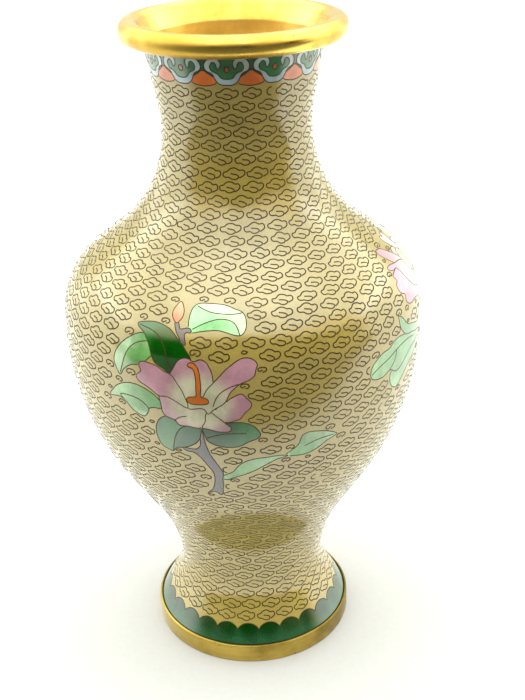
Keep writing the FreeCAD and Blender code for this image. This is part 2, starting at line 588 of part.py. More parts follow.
# one side of the peony; the other side is its mirror image
PEONY_INNER = [
    ("petal", [(0.0, 166.9), (-2.4, 168.2), (-5.0, 167.7), (-6.8, 165.8), (-6.6, 163.0),
               (-4.6, 161.0), (-1.2, 159.6), (0.6, 161.2), (0.8, 164.8)]),
]
PEONY_SIDE = [
    ("petal", [(-25.6, 161.4), (-24.4, 162.9), (-22.6, 163.9), (-22.8, 164.9), (-21.3, 165.7),
               (-18.7, 166.0), (-16.4, 165.9), (-15.9, 164.3), (-15.7, 162.3), (-14.4, 160.1),
               (-12.1, 157.8), (-9.3, 156.1), (-5.8, 154.9), (-9.4, 153.2), (-15.1, 153.9),
               (-20.8, 154.2), (-23.0, 154.8), (-24.5, 156.6), (-23.3, 158.5), (-25.0, 159.6)]),
    ("petal", [(-21.6, 167.3), (-19.5, 167.9), (-16.3, 167.5), (-12.4, 166.9), (-8.2, 166.0),
               (-4.0, 161.0), (-5.4, 156.2), (-9.3, 156.1), (-12.1, 157.8), (-14.4, 160.1),
               (-15.7, 162.3), (-15.9, 164.3), (-16.4, 165.9), (-19.1, 166.2), (-20.9, 166.8)]),
    ("petal", [(-16.7, 171.0), (-16.3, 169.7), (-15.4, 168.2), (-13.4, 166.8), (-9.6, 165.6),
               (-6.4, 165.8), (-7.8, 168.0), (-10.0, 170.0), (-12.2, 171.8), (-14.4, 172.2),
               (-16.1, 172.0)]),
    ("petal", [(-9.0, 167.2), (-7.4, 169.0), (-5.0, 169.5), (-2.8, 168.9), (-2.0, 167.0),
               (-5.0, 165.4), (-8.0, 165.6)]),
]
PEONY_BACK = [
    ("petal", [(-2.2, 168.0), (-3.0, 170.0), (-3.8, 171.8), (-2.0, 172.8), (0.0, 172.0),
               (2.0, 172.8), (3.8, 171.8), (3.0, 170.0), (2.2, 168.0), (0.0, 166.0)]),
    ("petal", [(-8.0, 156.4), (-10.4, 153.4), (-8.8, 150.6), (-5.2, 149.4), (-1.8, 149.8),
               (0.0, 150.8), (1.8, 149.8), (5.2, 149.4), (8.8, 150.6), (10.4, 153.4),
               (8.0, 156.4), (0.0, 158.8)]),
]
PEONY_LEAVES = [
    ("vein", [(-47.5, 137.7), (-44.3, 139.6), (-40.5, 140.8), (-37.5, 142.0), (-34.4, 142.8),
              (-28.0, 143.0), (-22.4, 141.8)]),
    ("vein", [(-36.2, 142.2), (-36.5, 139.8), (-38.0, 137.5), (-39.6, 136.2)]),
    ("leaf", [(-48.0, 138.6), (-47.2, 141.3), (-45.3, 143.1), (-42.8, 144.4), (-39.9, 144.8),
              (-37.8, 146.1), (-34.8, 146.7), (-31.1, 146.1), (-27.4, 144.8), (-23.5, 143.8),
              (-19.0, 142.3), (-14.3, 140.8), (-16.7, 139.3), (-23.6, 138.3), (-30.2, 135.7),
              (-34.3, 133.7), (-36.4, 133.9), (-39.5, 135.9), (-42.1, 134.9), (-45.1, 134.9),
              (-46.9, 135.7), (-47.9, 137.2)]),
    ("leaf", [(-27.4, 144.8), (-29.5, 145.7), (-31.8, 147.7), (-33.0, 149.9), (-33.1, 152.4),
              (-32.6, 153.9), (-31.4, 153.3), (-29.7, 151.2), (-27.7, 148.9), (-24.5, 147.6),
              (-20.6, 146.2), (-15.6, 145.4), (-10.0, 150.6), (-4.0, 148.4), (-6.0, 144.0),
              (-14.0, 140.6), (-21.3, 142.0)]),
    ("leaf", [(-38.9, 134.2), (-32.3, 136.7), (-25.8, 138.8), (-19.0, 139.8), (-15.0, 138.0),
              (-19.0, 135.2), (-25.7, 132.2), (-30.9, 128.6), (-33.9, 126.4), (-37.1, 128.1),
              (-38.7, 130.7)]),
]
PEONY_STEM = [
    ("leaf", [(-1.4, 151.0), (-2.6, 144.0), (-1.6, 136.0), (1.0, 128.0), (3.4, 122.0),
              (5.2, 122.6), (3.4, 129.0), (1.4, 136.0), (0.4, 144.0), (1.4, 151.0)]),
]
PEONY_HEART = [
    ("heart", [(2.7, 164.0), (1.9, 166.3), (0.0, 167.2), (-1.9, 166.3), (-2.7, 164.0),
               (-1.9, 161.7), (0.0, 160.8), (1.9, 161.7)]),
]
PEONY = (PEONY_HEART + PEONY_INNER + mirrored(PEONY_INNER) + PEONY_SIDE
         + mirrored(PEONY_SIDE) + PEONY_BACK + PEONY_LEAVES + mirrored(PEONY_LEAVES)
         + PEONY_STEM)


def silhouettes(outlines):
    """Faces of a whole drawing without its inner lines, and faces of the gaps it encloses."""
    box = Part.makeCompound(outlines).BoundBox
    box.enlarge(5)
    corner = Vector(box.XMin, 0, box.ZMin)
    window = Part.makePlane(box.XLength, box.ZLength, corner, Vector(0, -1, 0), Vector(1, 0, 0))
    rest = sorted(window.cut(outlines).Faces, key=lambda face: face.Area)
    around = rest.pop()
    whole = [Part.Face(w) for w in around.Wires if not w.isSame(around.OuterWire)]
    return whole, rest


def turned(solids, degrees):
    return [s.rotated(Vector(0, 0, 0), Vector(0, 0, 1), degrees) for s in solids]


def spray(name, shapes, turn):
    """Cells and wires of one spray, drawn facing -Y and then turned to their place.

    Also returns the bars that open the ground enamel and the ground left in its gaps."""
    cells, wires, outlines = picture(shapes)
    solids = {"%s_enamel" % kind: on_skin(faces, 0) for kind, faces in cells.items()}
    solids["wires"] = on_skin(wires, 0)
    for kind, group in solids.items():
        node("%s_%s" % (name, kind), turned(group, turn))
    whole, gaps = silhouettes(outlines)
    return solids, prisms(whole, 0), on_skin(gaps, 0)


def flipped(solids):
    return [s.mirror(Vector(0, 0, 0), Vector(1, 0, 0)) for s in solids]


magnolia_bars, magnolia_gaps = spray("magnolia", MAGNOLIA, dim("magnolia_turn"))[1:]
openings = turned(magnolia_bars, dim("magnolia_turn"))
ground_gaps = turned(magnolia_gaps, dim("magnolia_turn"))
peony_solids, peony_bars, peony_gaps = spray("peony", PEONY, dim("peony_turn"))
openings += turned(peony_bars, dim("peony_turn"))
ground_gaps += turned(peony_gaps, dim("peony_turn"))
for kind, group in peony_solids.items():
    node("blue_peony_" + kind, turned(flipped(group), dim("blue_peony_turn")))
openings += turned(flipped(peony_bars), dim("blue_peony_turn"))
ground_gaps += turned(flipped(peony_gaps), dim("blue_peony_turn"))

# ---------------------------------------------------------------- collar

RUYI_RIGHT = [(2.2, 236.6), (3.6, 237.7), (4.5, 239.4), (5.2, 240.4), (6.8, 241.2), (7.6, 242.8),
              (6.8, 244.7), (4.9, 245.5), (3.0, 245.2), (2.1, 244.1), (2.2, 242.7), (2.9, 241.9),
              (3.4, 242.6), (3.6, 243.6), (4.4, 244.2), (5.3, 243.6), (5.6, 242.2), (5.1, 241.3),
              (3.7, 240.6), (2.9, 240.0), (2.2, 239.0)]
RUYI_SCROLL = ([(0.0, 236.3)] + RUYI_RIGHT + [(0.0, 238.4)]
               + [(-x, z) for x, z in reversed(RUYI_RIGHT)])
RUYI_DOT = [(0.8, 241.7), (0.6, 242.4), (0.0, 242.7), (-0.6, 242.4), (-0.8, 241.7), (-0.6, 241.0),
            (0.0, 240.7), (0.6, 241.0)]
RUYI_FIELD = [(0.0, 237.5), (3.0, 239.4), (5.4, 240.9), (6.2, 243.0), (4.4, 244.9), (2.4, 246.0),
              (2.0, 249.0), (0.0, 250.0), (-2.0, 249.0), (-2.4, 246.0), (-4.4, 244.9),
              (-6.2, 243.0), (-5.4, 240.9), (-3.0, 239.4)]
COLLAR_DROP = [(0.0, 241.4), (-2.0, 240.2), (-4.0, 238.7), (-4.4, 237.4), (-2.4, 236.3),
               (0.0, 236.0), (2.4, 236.3), (4.4, 237.4), (4.0, 238.7), (2.0, 240.2)]

step = 360.0 / dim("heads")
first_head = dim("head_turn")
cells, wires, head_outlines = picture([("dot", RUYI_DOT), ("scroll", RUYI_SCROLL),
                                       ("field", RUYI_FIELD)])
drop_cells, drop_wires, drop_outlines = picture([("drop", COLLAR_DROP)])
turns = [first_head + step * k for k in range(int(dim("heads")))]
collar_wires = []
for kind, label in (("dot", "ruyi_dot_enamel"), ("scroll", "ruyi_scroll_enamel"),
                    ("field", "ruyi_field_enamel")):
    one = on_skin(cells[kind], first_head)
    node(label, [s for k in range(len(turns)) for s in turned(one, step * k)])
head_whole = silhouettes(head_outlines)[0]
head_bars = [bar for turn in turns for bar in prisms(head_whole, turn)]
drop_bars = [bar for turn in turns for bar in prisms(drop_outlines, turn + step / 2)]
beside = [b for turn in (first_head, first_head + step) for b in prisms(head_whole, turn)]
one_drop = solids_of([s.cut(beside) for s in on_skin(drop_cells["drop"], first_head + step / 2)])
one_drop_wire = solids_of([s.cut(beside) for s in on_skin(drop_wires, first_head + step / 2)])
one_head_wire = on_skin(wires, first_head)
drops = []
for k in range(len(turns)):
    drops += turned(one_drop, step * k)
    collar_wires += turned(one_drop_wire + one_head_wire, step * k)
node("collar_drop_enamel", drops)
node("collar_wires", collar_wires)
openings += head_bars + drop_bars

# ---------------------------------------------------------------- foot border

half_wire = dim("wire_gauge") / 2


def scallop_zone(margin):
    """The green border: a plain band with a row of round tops, grown by a margin."""
    centre = Vector(0, -CORE, dim("scallop_base"))
    oval = Part.Ellipse(centre, dim("scallop_half") + margin, dim("scallop_rise") + margin)
    edge = oval.toShape()
    edge.rotate(centre, Vector(1, 0, 0), 90)
    top = Part.Face(Part.Wire([edge])).extrude(Vector(0, CORE - REACH, 0))
    count = int(dim("scallops"))
    turns = [dim("scallop_turn") + 360.0 / count * k for k in range(count)]
    tops = [top.rotated(Vector(0, 0, 0), Vector(0, 0, 1), turn) for turn in turns]
    band = Part.makeCylinder(REACH, dim("scallop_base"))
    return band.fuse(tops)


border_in = scallop_zone(-half_wire)
border_out = scallop_zone(half_wire)
border = skin.common(border_in)
border_edge = skin.common(border_out).cut(border_in)
node("foot_border_enamel", solids_of([border]))
node("foot_border_wire", solids_of([border_edge]))
openings.append(border_out)

# ---------------------------------------------------------------- ground enamel

ground = skin
for opening in openings:
    ground = ground.cut(opening)
# between the ruyi heads, above the drops, the ground is the collar's green
remains = solids_of([ground])
collar_low = min(z for _, z in COLLAR_DROP)
node("field_enamel", [s for s in remains if s.BoundBox.ZMin < collar_low] + ground_gaps)
node("collar_ground_enamel", [s for s in remains if s.BoundBox.ZMin >= collar_low])

# ---------------------------------------------------------------- checks and export

doc.recompute()
for obj in doc.Objects:
    bad = [flag for flag in obj.State if flag in ("Invalid", "Error")]
    if bad:
        raise RuntimeError("%s is %s" % (obj.Name, bad))
for part in nodes:
    shape = part.Shape
    if shape.isNull() or not shape.isValid():
        raise RuntimeError(part.Label + " has no valid shape")
    shape.exportStep("parts/%s.step" % part.Label)
    print("%-28s %4d solids %10.1f mm3" % (part.Label, len(shape.Solids), shape.Volume))
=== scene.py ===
import math
import random

import bpy
import numpy as np
from mathutils import Matrix, Vector
from mathutils.geometry import delaunay_2d_cdt


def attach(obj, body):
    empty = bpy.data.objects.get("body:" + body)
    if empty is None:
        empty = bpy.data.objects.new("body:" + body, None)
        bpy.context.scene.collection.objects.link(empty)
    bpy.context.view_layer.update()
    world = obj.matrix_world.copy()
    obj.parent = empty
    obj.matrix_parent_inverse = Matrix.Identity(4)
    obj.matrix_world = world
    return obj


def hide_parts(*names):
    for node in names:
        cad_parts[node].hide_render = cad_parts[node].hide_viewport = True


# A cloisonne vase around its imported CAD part.  Lengths in the drawings are millimetres;
# Blender works in metres.  A place on the skin is (turn, run): degrees round the axis
# from the front (-Y) towards +X, and millimetres along the outline from the foot ring.

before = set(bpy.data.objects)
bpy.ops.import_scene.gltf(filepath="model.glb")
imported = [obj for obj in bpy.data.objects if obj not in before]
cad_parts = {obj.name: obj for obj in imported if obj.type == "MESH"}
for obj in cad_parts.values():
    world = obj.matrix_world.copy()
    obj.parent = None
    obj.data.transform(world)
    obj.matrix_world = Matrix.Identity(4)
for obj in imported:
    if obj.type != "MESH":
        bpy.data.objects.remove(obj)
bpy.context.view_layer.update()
MM = 0.001
dice = random.Random(41)


# ------------------------------------------------------------------ body outline

def outward(lean):
    a = math.radians(lean)
    return np.array((math.cos(a), -math.sin(a)))


def body_outline():
    """Run, radius, height and lean of the enamel surface from the foot ring to the lip."""
    flare, flank, shoulder, lip = -31.5, 32.0, -53.0, 10.5
    waist_c, waist_r = np.array((50.1, 30.6)), 20.5
    belly_c, belly_r = np.array((-45.25, 140.5)), 114.0
    throat_c, throat_r = np.array((76.45, 216.0)), 49.0
    flank_r, knuckle_r = 75.0, 29.0
    reach = (belly_c - waist_c) @ outward(flank) + belly_r + flank_r
    low_turn = flank - math.degrees(math.acos(reach / (flank_r - waist_r)))
    flank_c = waist_c + outward(low_turn) * (flank_r - waist_r)
    reach = (throat_c - belly_c) @ outward(shoulder) - throat_r - knuckle_r
    high_turn = shoulder + math.degrees(math.acos(reach / (belly_r - knuckle_r)))
    knuckle_c = belly_c + outward(high_turn) * (belly_r - knuckle_r)
    arcs = [(waist_c, -waist_r, flare, low_turn), (flank_c, -flank_r, low_turn, flank),
            (belly_c, belly_r, flank, high_turn), (knuckle_c, knuckle_r, high_turn, shoulder),
            (throat_c, -throat_r, shoulder, lip)]
    rows = []
    for centre, radius, low, high in arcs:
        for lean in np.linspace(low, high, 160):
            rows.append((*(centre + radius * outward(lean)), lean))
    rows = np.array(rows)
    for end, height in ((0, 8.1), (-1, 247.0)):
        r, z, lean = rows[end]
        row = (r + math.tan(math.radians(lean)) * (height - z), height, lean)
        rows = np.insert(rows, 0 if end == 0 else len(rows), row, axis=0)
    steps = np.hypot(np.diff(rows[:, 0]), np.diff(rows[:, 1]))
    keep = np.concatenate(([True], steps > 1e-6))
    run = np.concatenate(([0.0], np.cumsum(steps)))
    return run[keep], rows[keep, 0], rows[keep, 1], rows[keep, 2]


RUN, RADIUS, HEIGHT, LEAN = body_outline()
TOP_RUN = RUN[-1]


def radius_at(run):
    return np.interp(run, RUN, RADIUS)


def height_at(run):
    return np.interp(run, RUN, HEIGHT)


def run_at_height(height):
    return np.interp(height, HEIGHT, RUN)


def spot(turn, run, depth=0.0):
    """Points in metres at a depth (mm) under the enamel surface."""
    turn, lean = np.radians(turn), np.radians(np.interp(run, RUN, LEAN))
    r = radius_at(run) - depth * np.cos(lean)
    z = np.clip(height_at(run) + depth * np.sin(lean), 8.1, 247.0)
    return np.stack((r * np.sin(turn), -r * np.cos(turn), z), axis=-1) * MM


def facing(turn, run):
    """Outward unit normals of the surface."""
    turn, lean = np.radians(turn), np.radians(np.interp(run, RUN, LEAN))
    return np.stack((np.cos(lean) * np.sin(turn), -np.cos(lean) * np.cos(turn), -np.sin(lean)),
                    axis=-1)


# ------------------------------------------------------------------ curves

def smooth(points, closed=True, gap=0.4):
    """Points about every gap mm along the natural cubic through the given points."""
    p = np.array(points, float)
    if closed:
        p = np.vstack((p, p[:1]))
    chord = np.hypot(*np.diff(p, axis=0).T)
    t = np.concatenate(([0.0], np.cumsum(chord)))
    n = len(p)
    a, b = np.zeros((n, n)), np.zeros((n, 2))
    slope = np.diff(p, axis=0) / chord[:, None]
    for i in range(1, n - 1):
        a[i, i - 1:i + 2] = chord[i - 1], 2 * (chord[i - 1] + chord[i]), chord[i]
        b[i] = 6 * (slope[i] - slope[i - 1])
    if closed:
        a[0, 0], a[0, -1] = 1, -1
        a[-1, 0], a[-1, 1] = 2 * chord[0], chord[0]
        a[-1, -2], a[-1, -1] = chord[-1], 2 * chord[-1]
        b[-1] = 6 * (slope[0] - slope[-1])
    else:
        a[0, 0] = a[-1, -1] = 1
    bend = np.linalg.solve(a, b)
    count = max(6, int(round(t[-1] / gap)))
    u = np.linspace(0, t[-1], count, endpoint=not closed)
    k = np.clip(np.searchsorted(t, u, side="right") - 1, 0, n - 2)
    h = chord[k][:, None]
    x, y = (u - t[k])[:, None], (t[k + 1] - u)[:, None]
    return (bend[k] * y ** 3 / (6 * h) + bend[k + 1] * x ** 3 / (6 * h)
            + (p[k] / h - bend[k] * h / 6) * y + (p[k + 1] / h - bend[k + 1] * h / 6) * x)


def inside(points, ring):
    """Even-odd test of points against a closed ring."""
    x, y = points[:, 0], points[:, 1]
    hit = np.zeros(len(points), bool)
    for (a, b), (c, d) in zip(ring, np.roll(ring, -1, axis=0)):
        if b != d:
            hit ^= ((b > y) != (d > y)) & (x < (c - a) * (y - b) / (d - b) + a)
    return hit


def ramp(low, high, value):
    t = np.clip((value - low) / (high - low), 0, 1)
    return t * t * (3 - 2 * t)


def rgb(red, green, blue):
    """A colour as light, from the numbers of a colour picker."""
    return np.array([(c / 255) ** 2.2 for c in (red, green, blue)])


# ------------------------------------------------------------------ drawings
# Flat, as seen when the vase is turned to face them: across, up.  Topmost first; a vein is
# a wire inside the shape under it.

MAGNOLIA = [
    ("stamen", [(-7.9, 150.7), (-7.6, 151.5), (-6.5, 151.9), (-5.3, 151.4), (-4.4, 150.2),
                (-3.8, 147.9), (-3.6, 144.8), (-3.6, 141.8), (-3.4, 139.4), (-2.2, 139.1),
                (-1.1, 138.3), (-1.3, 137.1), (-3.0, 136.5), (-5.2, 136.3), (-7.4, 136.5),
                (-8.7, 137.4), (-8.5, 138.7), (-7.0, 139.2), (-5.6, 139.5), (-5.3, 141.8),
                (-5.2, 144.3), (-5.3, 146.9), (-5.7, 148.9), (-6.5, 150.0)]),
    ("vein", [(-13.8, 128.6), (-11.6, 130.5), (-9.3, 131.1)]),
    ("vein", [(0.4, 135.9), (1.2, 138.3), (2.4, 140.4), (4.2, 142.2), (6.6, 143.6), (9.4, 144.7)]),
    ("petal", [(-25.5, 149.2), (-22.2, 149.6), (-19.1, 149.1), (-17.2, 148.0), (-14.2, 146.8),
               (-11.9, 143.8), (-10.4, 141.3), (-9.4, 138.8), (-8.6, 136.5), (-8.6, 134.7),
               (-10.8, 135.5), (-13.7, 137.1), (-16.3, 138.0), (-18.8, 137.8), (-21.3, 139.3),
               (-24.7, 141.1), (-26.9, 142.5), (-27.3, 143.8), (-26.2, 145.0), (-25.3, 146.3),
               (-25.9, 147.7)]),
    ("petal", [(-3.5, 139.1), (-1.8, 141.8), (0.6, 144.8), (3.0, 147.5), (5.3, 150.1),
               (7.7, 152.1), (10.0, 153.6), (12.3, 154.0), (14.3, 153.3), (15.7, 151.5),
               (15.2, 149.7), (15.0, 148.2), (14.0, 146.8), (12.1, 145.7), (10.0, 144.8),
               (8.1, 143.2), (6.5, 141.4), (5.5, 139.4), (4.4, 137.5), (2.2, 135.8),
               (0.2, 134.3), (-1.6, 132.9), (-2.6, 134.4), (-4.8, 134.8), (-7.1, 134.3),
               (-9.1, 134.9), (-9.3, 137.2), (-6.6, 138.4)]),
    ("petal", [(-14.5, 146.5), (-13.0, 149.4), (-11.5, 151.9), (-9.4, 153.2), (-7.4, 153.1),
               (-5.7, 152.3), (-4.0, 153.0), (-1.9, 152.7), (-0.5, 150.9), (0.5, 148.4),
               (0.8, 145.3), (0.5, 140.8), (-2.4, 137.2), (-7.2, 136.7), (-11.4, 140.3)]),
    ("petal", [(-1.8, 133.3), (-2.6, 130.7), (-3.1, 128.8), (-4.0, 127.2), (-1.8, 126.5),
               (1.2, 125.7), (4.1, 125.6), (5.9, 126.2), (6.2, 127.2), (5.0, 128.6),
               (3.1, 130.5), (1.2, 132.1), (-0.5, 133.5)]),
    ("petal", [(-1.9, 132.6), (0.6, 134.5), (3.0, 136.4), (5.0, 137.9), (6.6, 139.3),
               (8.4, 140.4), (10.2, 141.0), (11.6, 139.8), (12.6, 138.6), (13.5, 137.2),
               (13.1, 135.5), (11.6, 133.9), (10.5, 132.5), (9.5, 131.2), (8.0, 130.5),
               (6.0, 129.8), (3.8, 129.8), (1.8, 130.2), (-0.6, 130.7)]),
    ("petal", [(-18.9, 137.6), (-18.5, 134.7), (-18.3, 132.4), (-17.6, 130.6), (-15.7, 129.5),
               (-13.4, 128.6), (-12.5, 127.3), (-10.0, 127.0), (-7.1, 126.8), (-4.4, 126.9),
               (-3.1, 128.6), (-2.6, 130.7), (-2.4, 132.7), (-1.7, 134.1), (-3.6, 135.9),
               (-8.4, 136.2), (-13.1, 137.7)]),
    ("bud", [(-12.2, 163.6), (-13.3, 164.5), (-13.9, 165.7), (-13.7, 166.8), (-12.7, 168.1),
             (-11.2, 169.1), (-10.3, 168.1), (-9.9, 166.8), (-10.2, 165.4), (-11.2, 164.2)]),
    ("branch", [(-12.6, 163.9), (-12.5, 162.3), (-11.9, 160.7), (-10.9, 159.3), (-10.1, 157.8),
                (-8.8, 157.4), (-9.0, 159.4), (-8.6, 161.1), (-6.8, 161.4), (-6.9, 162.0),
                (-9.2, 162.3), (-10.9, 162.2), (-11.6, 163.9)]),
    ("vein", [(-5.4, 168.5), (-2.0, 167.4), (1.0, 166.9), (4.2, 166.7), (7.3, 166.7), (10.1, 167.0)]),
    ("vein", [(-7.2, 161.9), (-3.3, 163.8), (0.0, 164.9), (3.2, 165.4), (5.3, 165.2), (7.6, 164.3),
              (8.8, 162.9), (9.7, 161.0)]),
    ("pale_leaf", [(-7.4, 161.5), (-7.9, 164.3), (-7.6, 166.4), (-6.5, 168.3), (-5.0, 169.0),
                   (-2.0, 169.2), (2.0, 169.1), (5.0, 168.7), (7.6, 167.9), (10.0, 167.1),
                   (11.2, 165.7), (11.6, 163.9), (11.3, 162.1), (10.2, 161.0), (8.4, 160.9),
                   (5.6, 161.6), (2.2, 162.3), (-1.1, 162.1), (-4.5, 161.6)]),
    ("vein", [(-25.6, 161.4), (-23.2, 161.0), (-20.1, 160.2), (-17.6, 158.3), (-16.0, 154.9),
              (-15.0, 151.4), (-14.2, 148.0)]),
    ("dark_leaf", [(-26.4, 161.4), (-24.7, 162.3), (-22.2, 162.8), (-19.6, 163.0), (-16.5, 162.5),
                   (-13.9, 161.4), (-11.9, 159.6), (-9.8, 157.6), (-8.2, 155.4), (-6.8, 153.3),
                   (-7.7, 149.9), (-10.7, 147.9), (-13.9, 146.9), (-16.5, 148.4), (-19.9, 150.4),
                   (-21.1, 152.9), (-21.8, 155.4), (-23.1, 158.1), (-24.5, 159.8), (-25.9, 160.7)]),
    ("vein", [(-21.9, 157.0), (-26.1, 155.9), (-29.4, 153.4), (-31.5, 149.9), (-32.7, 146.4),
              (-33.8, 143.0)]),
    ("pale_leaf", [(-21.6, 158.7), (-25.1, 159.0), (-28.6, 157.4), (-31.4, 155.4), (-33.8, 152.9),
                   (-35.5, 149.9), (-36.1, 147.4), (-35.7, 145.2), (-34.7, 143.1), (-34.0, 142.2),
                   (-33.2, 143.0), (-32.5, 144.4), (-31.1, 145.9), (-28.9, 147.4), (-25.6, 148.4),
                   (-23.3, 150.1), (-21.3, 152.1), (-19.0, 155.4)]),
    ("pale_leaf", [(-34.6, 133.9), (-30.7, 134.8), (-26.9, 134.3), (-24.2, 132.5), (-23.4, 131.3),
                   (-24.2, 129.2), (-25.3, 127.8), (-27.5, 128.0), (-30.5, 129.6), (-32.8, 132.1)]),
    ("pale_leaf", [(-39.3, 132.1), (-37.9, 134.7), (-35.5, 137.5), (-32.4, 139.4), (-29.1, 140.2),
                   (-25.3, 139.8), (-21.9, 138.4), (-19.3, 136.4), (-18.4, 134.7), (-18.4, 132.9),
                   (-21.8, 132.4), (-23.4, 131.5), (-26.7, 131.1), (-30.5, 131.3), (-34.0, 132.7),
                   (-36.3, 132.7)]),
    ("vein", [(-7.5, 127.4), (-11.2, 126.2), (-13.2, 123.8), (-14.4, 120.8), (-15.1, 118.1),
              (-15.6, 114.8)]),
    ("sage_leaf", [(-4.4, 127.1), (-7.7, 128.8), (-11.9, 129.8), (-16.5, 130.1), (-19.3, 128.4),
                   (-20.9, 125.6), (-21.4, 122.1), (-20.8, 118.6), (-19.3, 116.1), (-17.0, 114.9),
                   (-15.7, 114.6), (-14.6, 116.1), (-12.6, 116.9), (-9.8, 117.8), (-7.3, 119.4),
                   (-5.4, 121.6), (-4.6, 124.6)]),
    ("vein", [(11.4, 124.9), (7.1, 124.9), (2.9, 124.5), (-2.6, 122.6)]),
    ("sage_leaf", [(-3.8, 127.1), (-3.4, 124.1), (-2.6, 121.6), (-0.6, 120.0), (2.9, 118.9),
                   (5.8, 118.8), (9.3, 119.6), (12.0, 121.2), (14.5, 122.3), (16.0, 123.8),
                   (15.4, 125.9), (13.9, 127.9), (11.8, 129.1), (8.9, 129.7), (5.9, 129.5),
                   (1.8, 129.1), (-1.8, 128.6)]),
    ("branch", [(-4.2, 125.6), (-5.1, 121.1), (-5.8, 118.1), (-7.2, 117.1), (-9.4, 117.1),
                (-11.7, 116.7), (-11.0, 115.9), (-8.6, 115.6), (-6.4, 114.1), (-5.0, 112.3),
                (-3.9, 110.3), (-2.7, 108.3), (-1.8, 106.3), (-1.5, 103.9), (-1.7, 101.5),
                (-2.3, 98.9), (-3.3, 96.5), (-4.7, 94.9), (-5.3, 93.7), (-3.7, 95.0),
                (-2.2, 95.4), (-1.1, 94.6), (-0.3, 93.6), (0.4, 94.6), (0.8, 97.2),
                (1.3, 100.0), (1.3, 102.9), (1.8, 105.5), (1.0, 108.5), (-0.6, 111.9),
                (-2.1, 115.2), (-2.9, 118.1), (-3.5, 121.1)]),
    ("pale_leaf", [(1.1, 103.7), (2.8, 105.4), (5.6, 107.2), (7.3, 109.6), (9.6, 111.7),
                   (12.5, 112.9), (15.8, 113.4), (18.6, 113.6), (21.3, 113.8), (24.7, 113.2),
                   (21.7, 112.4), (19.0, 111.1), (16.1, 109.3), (13.3, 107.5), (10.5, 106.0),
                   (7.7, 104.8), (4.9, 103.6), (2.5, 102.7)]),
    ("vein", [(30.5, 116.4), (33.2, 117.6), (36.7, 118.4), (40.2, 118.5)]),
    ("pale_leaf", [(24.1, 113.3), (25.5, 115.1), (27.8, 116.9), (29.0, 118.9), (30.0, 121.4),
                   (31.6, 122.3), (34.6, 122.0), (37.5, 121.2), (39.7, 119.9), (41.2, 118.4),
                   (38.9, 117.1), (36.4, 115.4), (33.7, 113.6), (31.1, 112.6), (28.1, 112.5),
                   (25.5, 112.8)]),
]

# one side of the peony; the other side is its mirror image
PEONY_INNER = [
    ("petal", [(0.0, 166.9), (-2.4, 168.2), (-5.0, 167.7), (-6.8, 165.8), (-6.6, 163.0),
               (-4.6, 161.0), (-1.2, 159.6), (0.6, 161.2), (0.8, 164.8)]),
]
PEONY_SIDE = [
    ("petal", [(-25.6, 161.4), (-24.4, 162.9), (-22.6, 163.9), (-22.8, 164.9), (-21.3, 165.7),
               (-18.7, 166.0), (-16.4, 165.9), (-15.9, 164.3), (-15.7, 162.3), (-14.4, 160.1),
               (-12.1, 157.8), (-9.3, 156.1), (-5.8, 154.9), (-9.4, 153.2), (-15.1, 153.9),
               (-20.8, 154.2), (-23.0, 154.8), (-24.5, 156.6), (-23.3, 158.5), (-25.0, 159.6)]),
    ("petal", [(-21.6, 167.3), (-19.5, 167.9), (-16.3, 167.5), (-12.4, 166.9), (-8.2, 166.0),
               (-4.0, 161.0), (-5.4, 156.2), (-9.3, 156.1), (-12.1, 157.8), (-14.4, 160.1),
               (-15.7, 162.3), (-15.9, 164.3), (-16.4, 165.9), (-19.1, 166.2), (-20.9, 166.8)]),
    ("petal", [(-16.7, 171.0), (-16.3, 169.7), (-15.4, 168.2), (-13.4, 166.8), (-9.6, 165.6),
               (-6.4, 165.8), (-7.8, 168.0), (-10.0, 170.0), (-12.2, 171.8), (-14.4, 172.2),
               (-16.1, 172.0)]),
    ("petal", [(-9.0, 167.2), (-7.4, 169.0), (-5.0, 169.5), (-2.8, 168.9), (-2.0, 167.0),
               (-5.0, 165.4), (-8.0, 165.6)]),
]
PEONY_BACK = [
    ("petal", [(-2.2, 168.0), (-3.0, 170.0), (-3.8, 171.8), (-2.0, 172.8), (0.0, 172.0),
               (2.0, 172.8), (3.8, 171.8), (3.0, 170.0), (2.2, 168.0), (0.0, 166.0)]),
    ("petal", [(-8.0, 156.4), (-10.4, 153.4), (-8.8, 150.6), (-5.2, 149.4), (-1.8, 149.8),
               (0.0, 150.8), (1.8, 149.8), (5.2, 149.4), (8.8, 150.6), (10.4, 153.4),
               (8.0, 156.4), (0.0, 158.8)]),
]
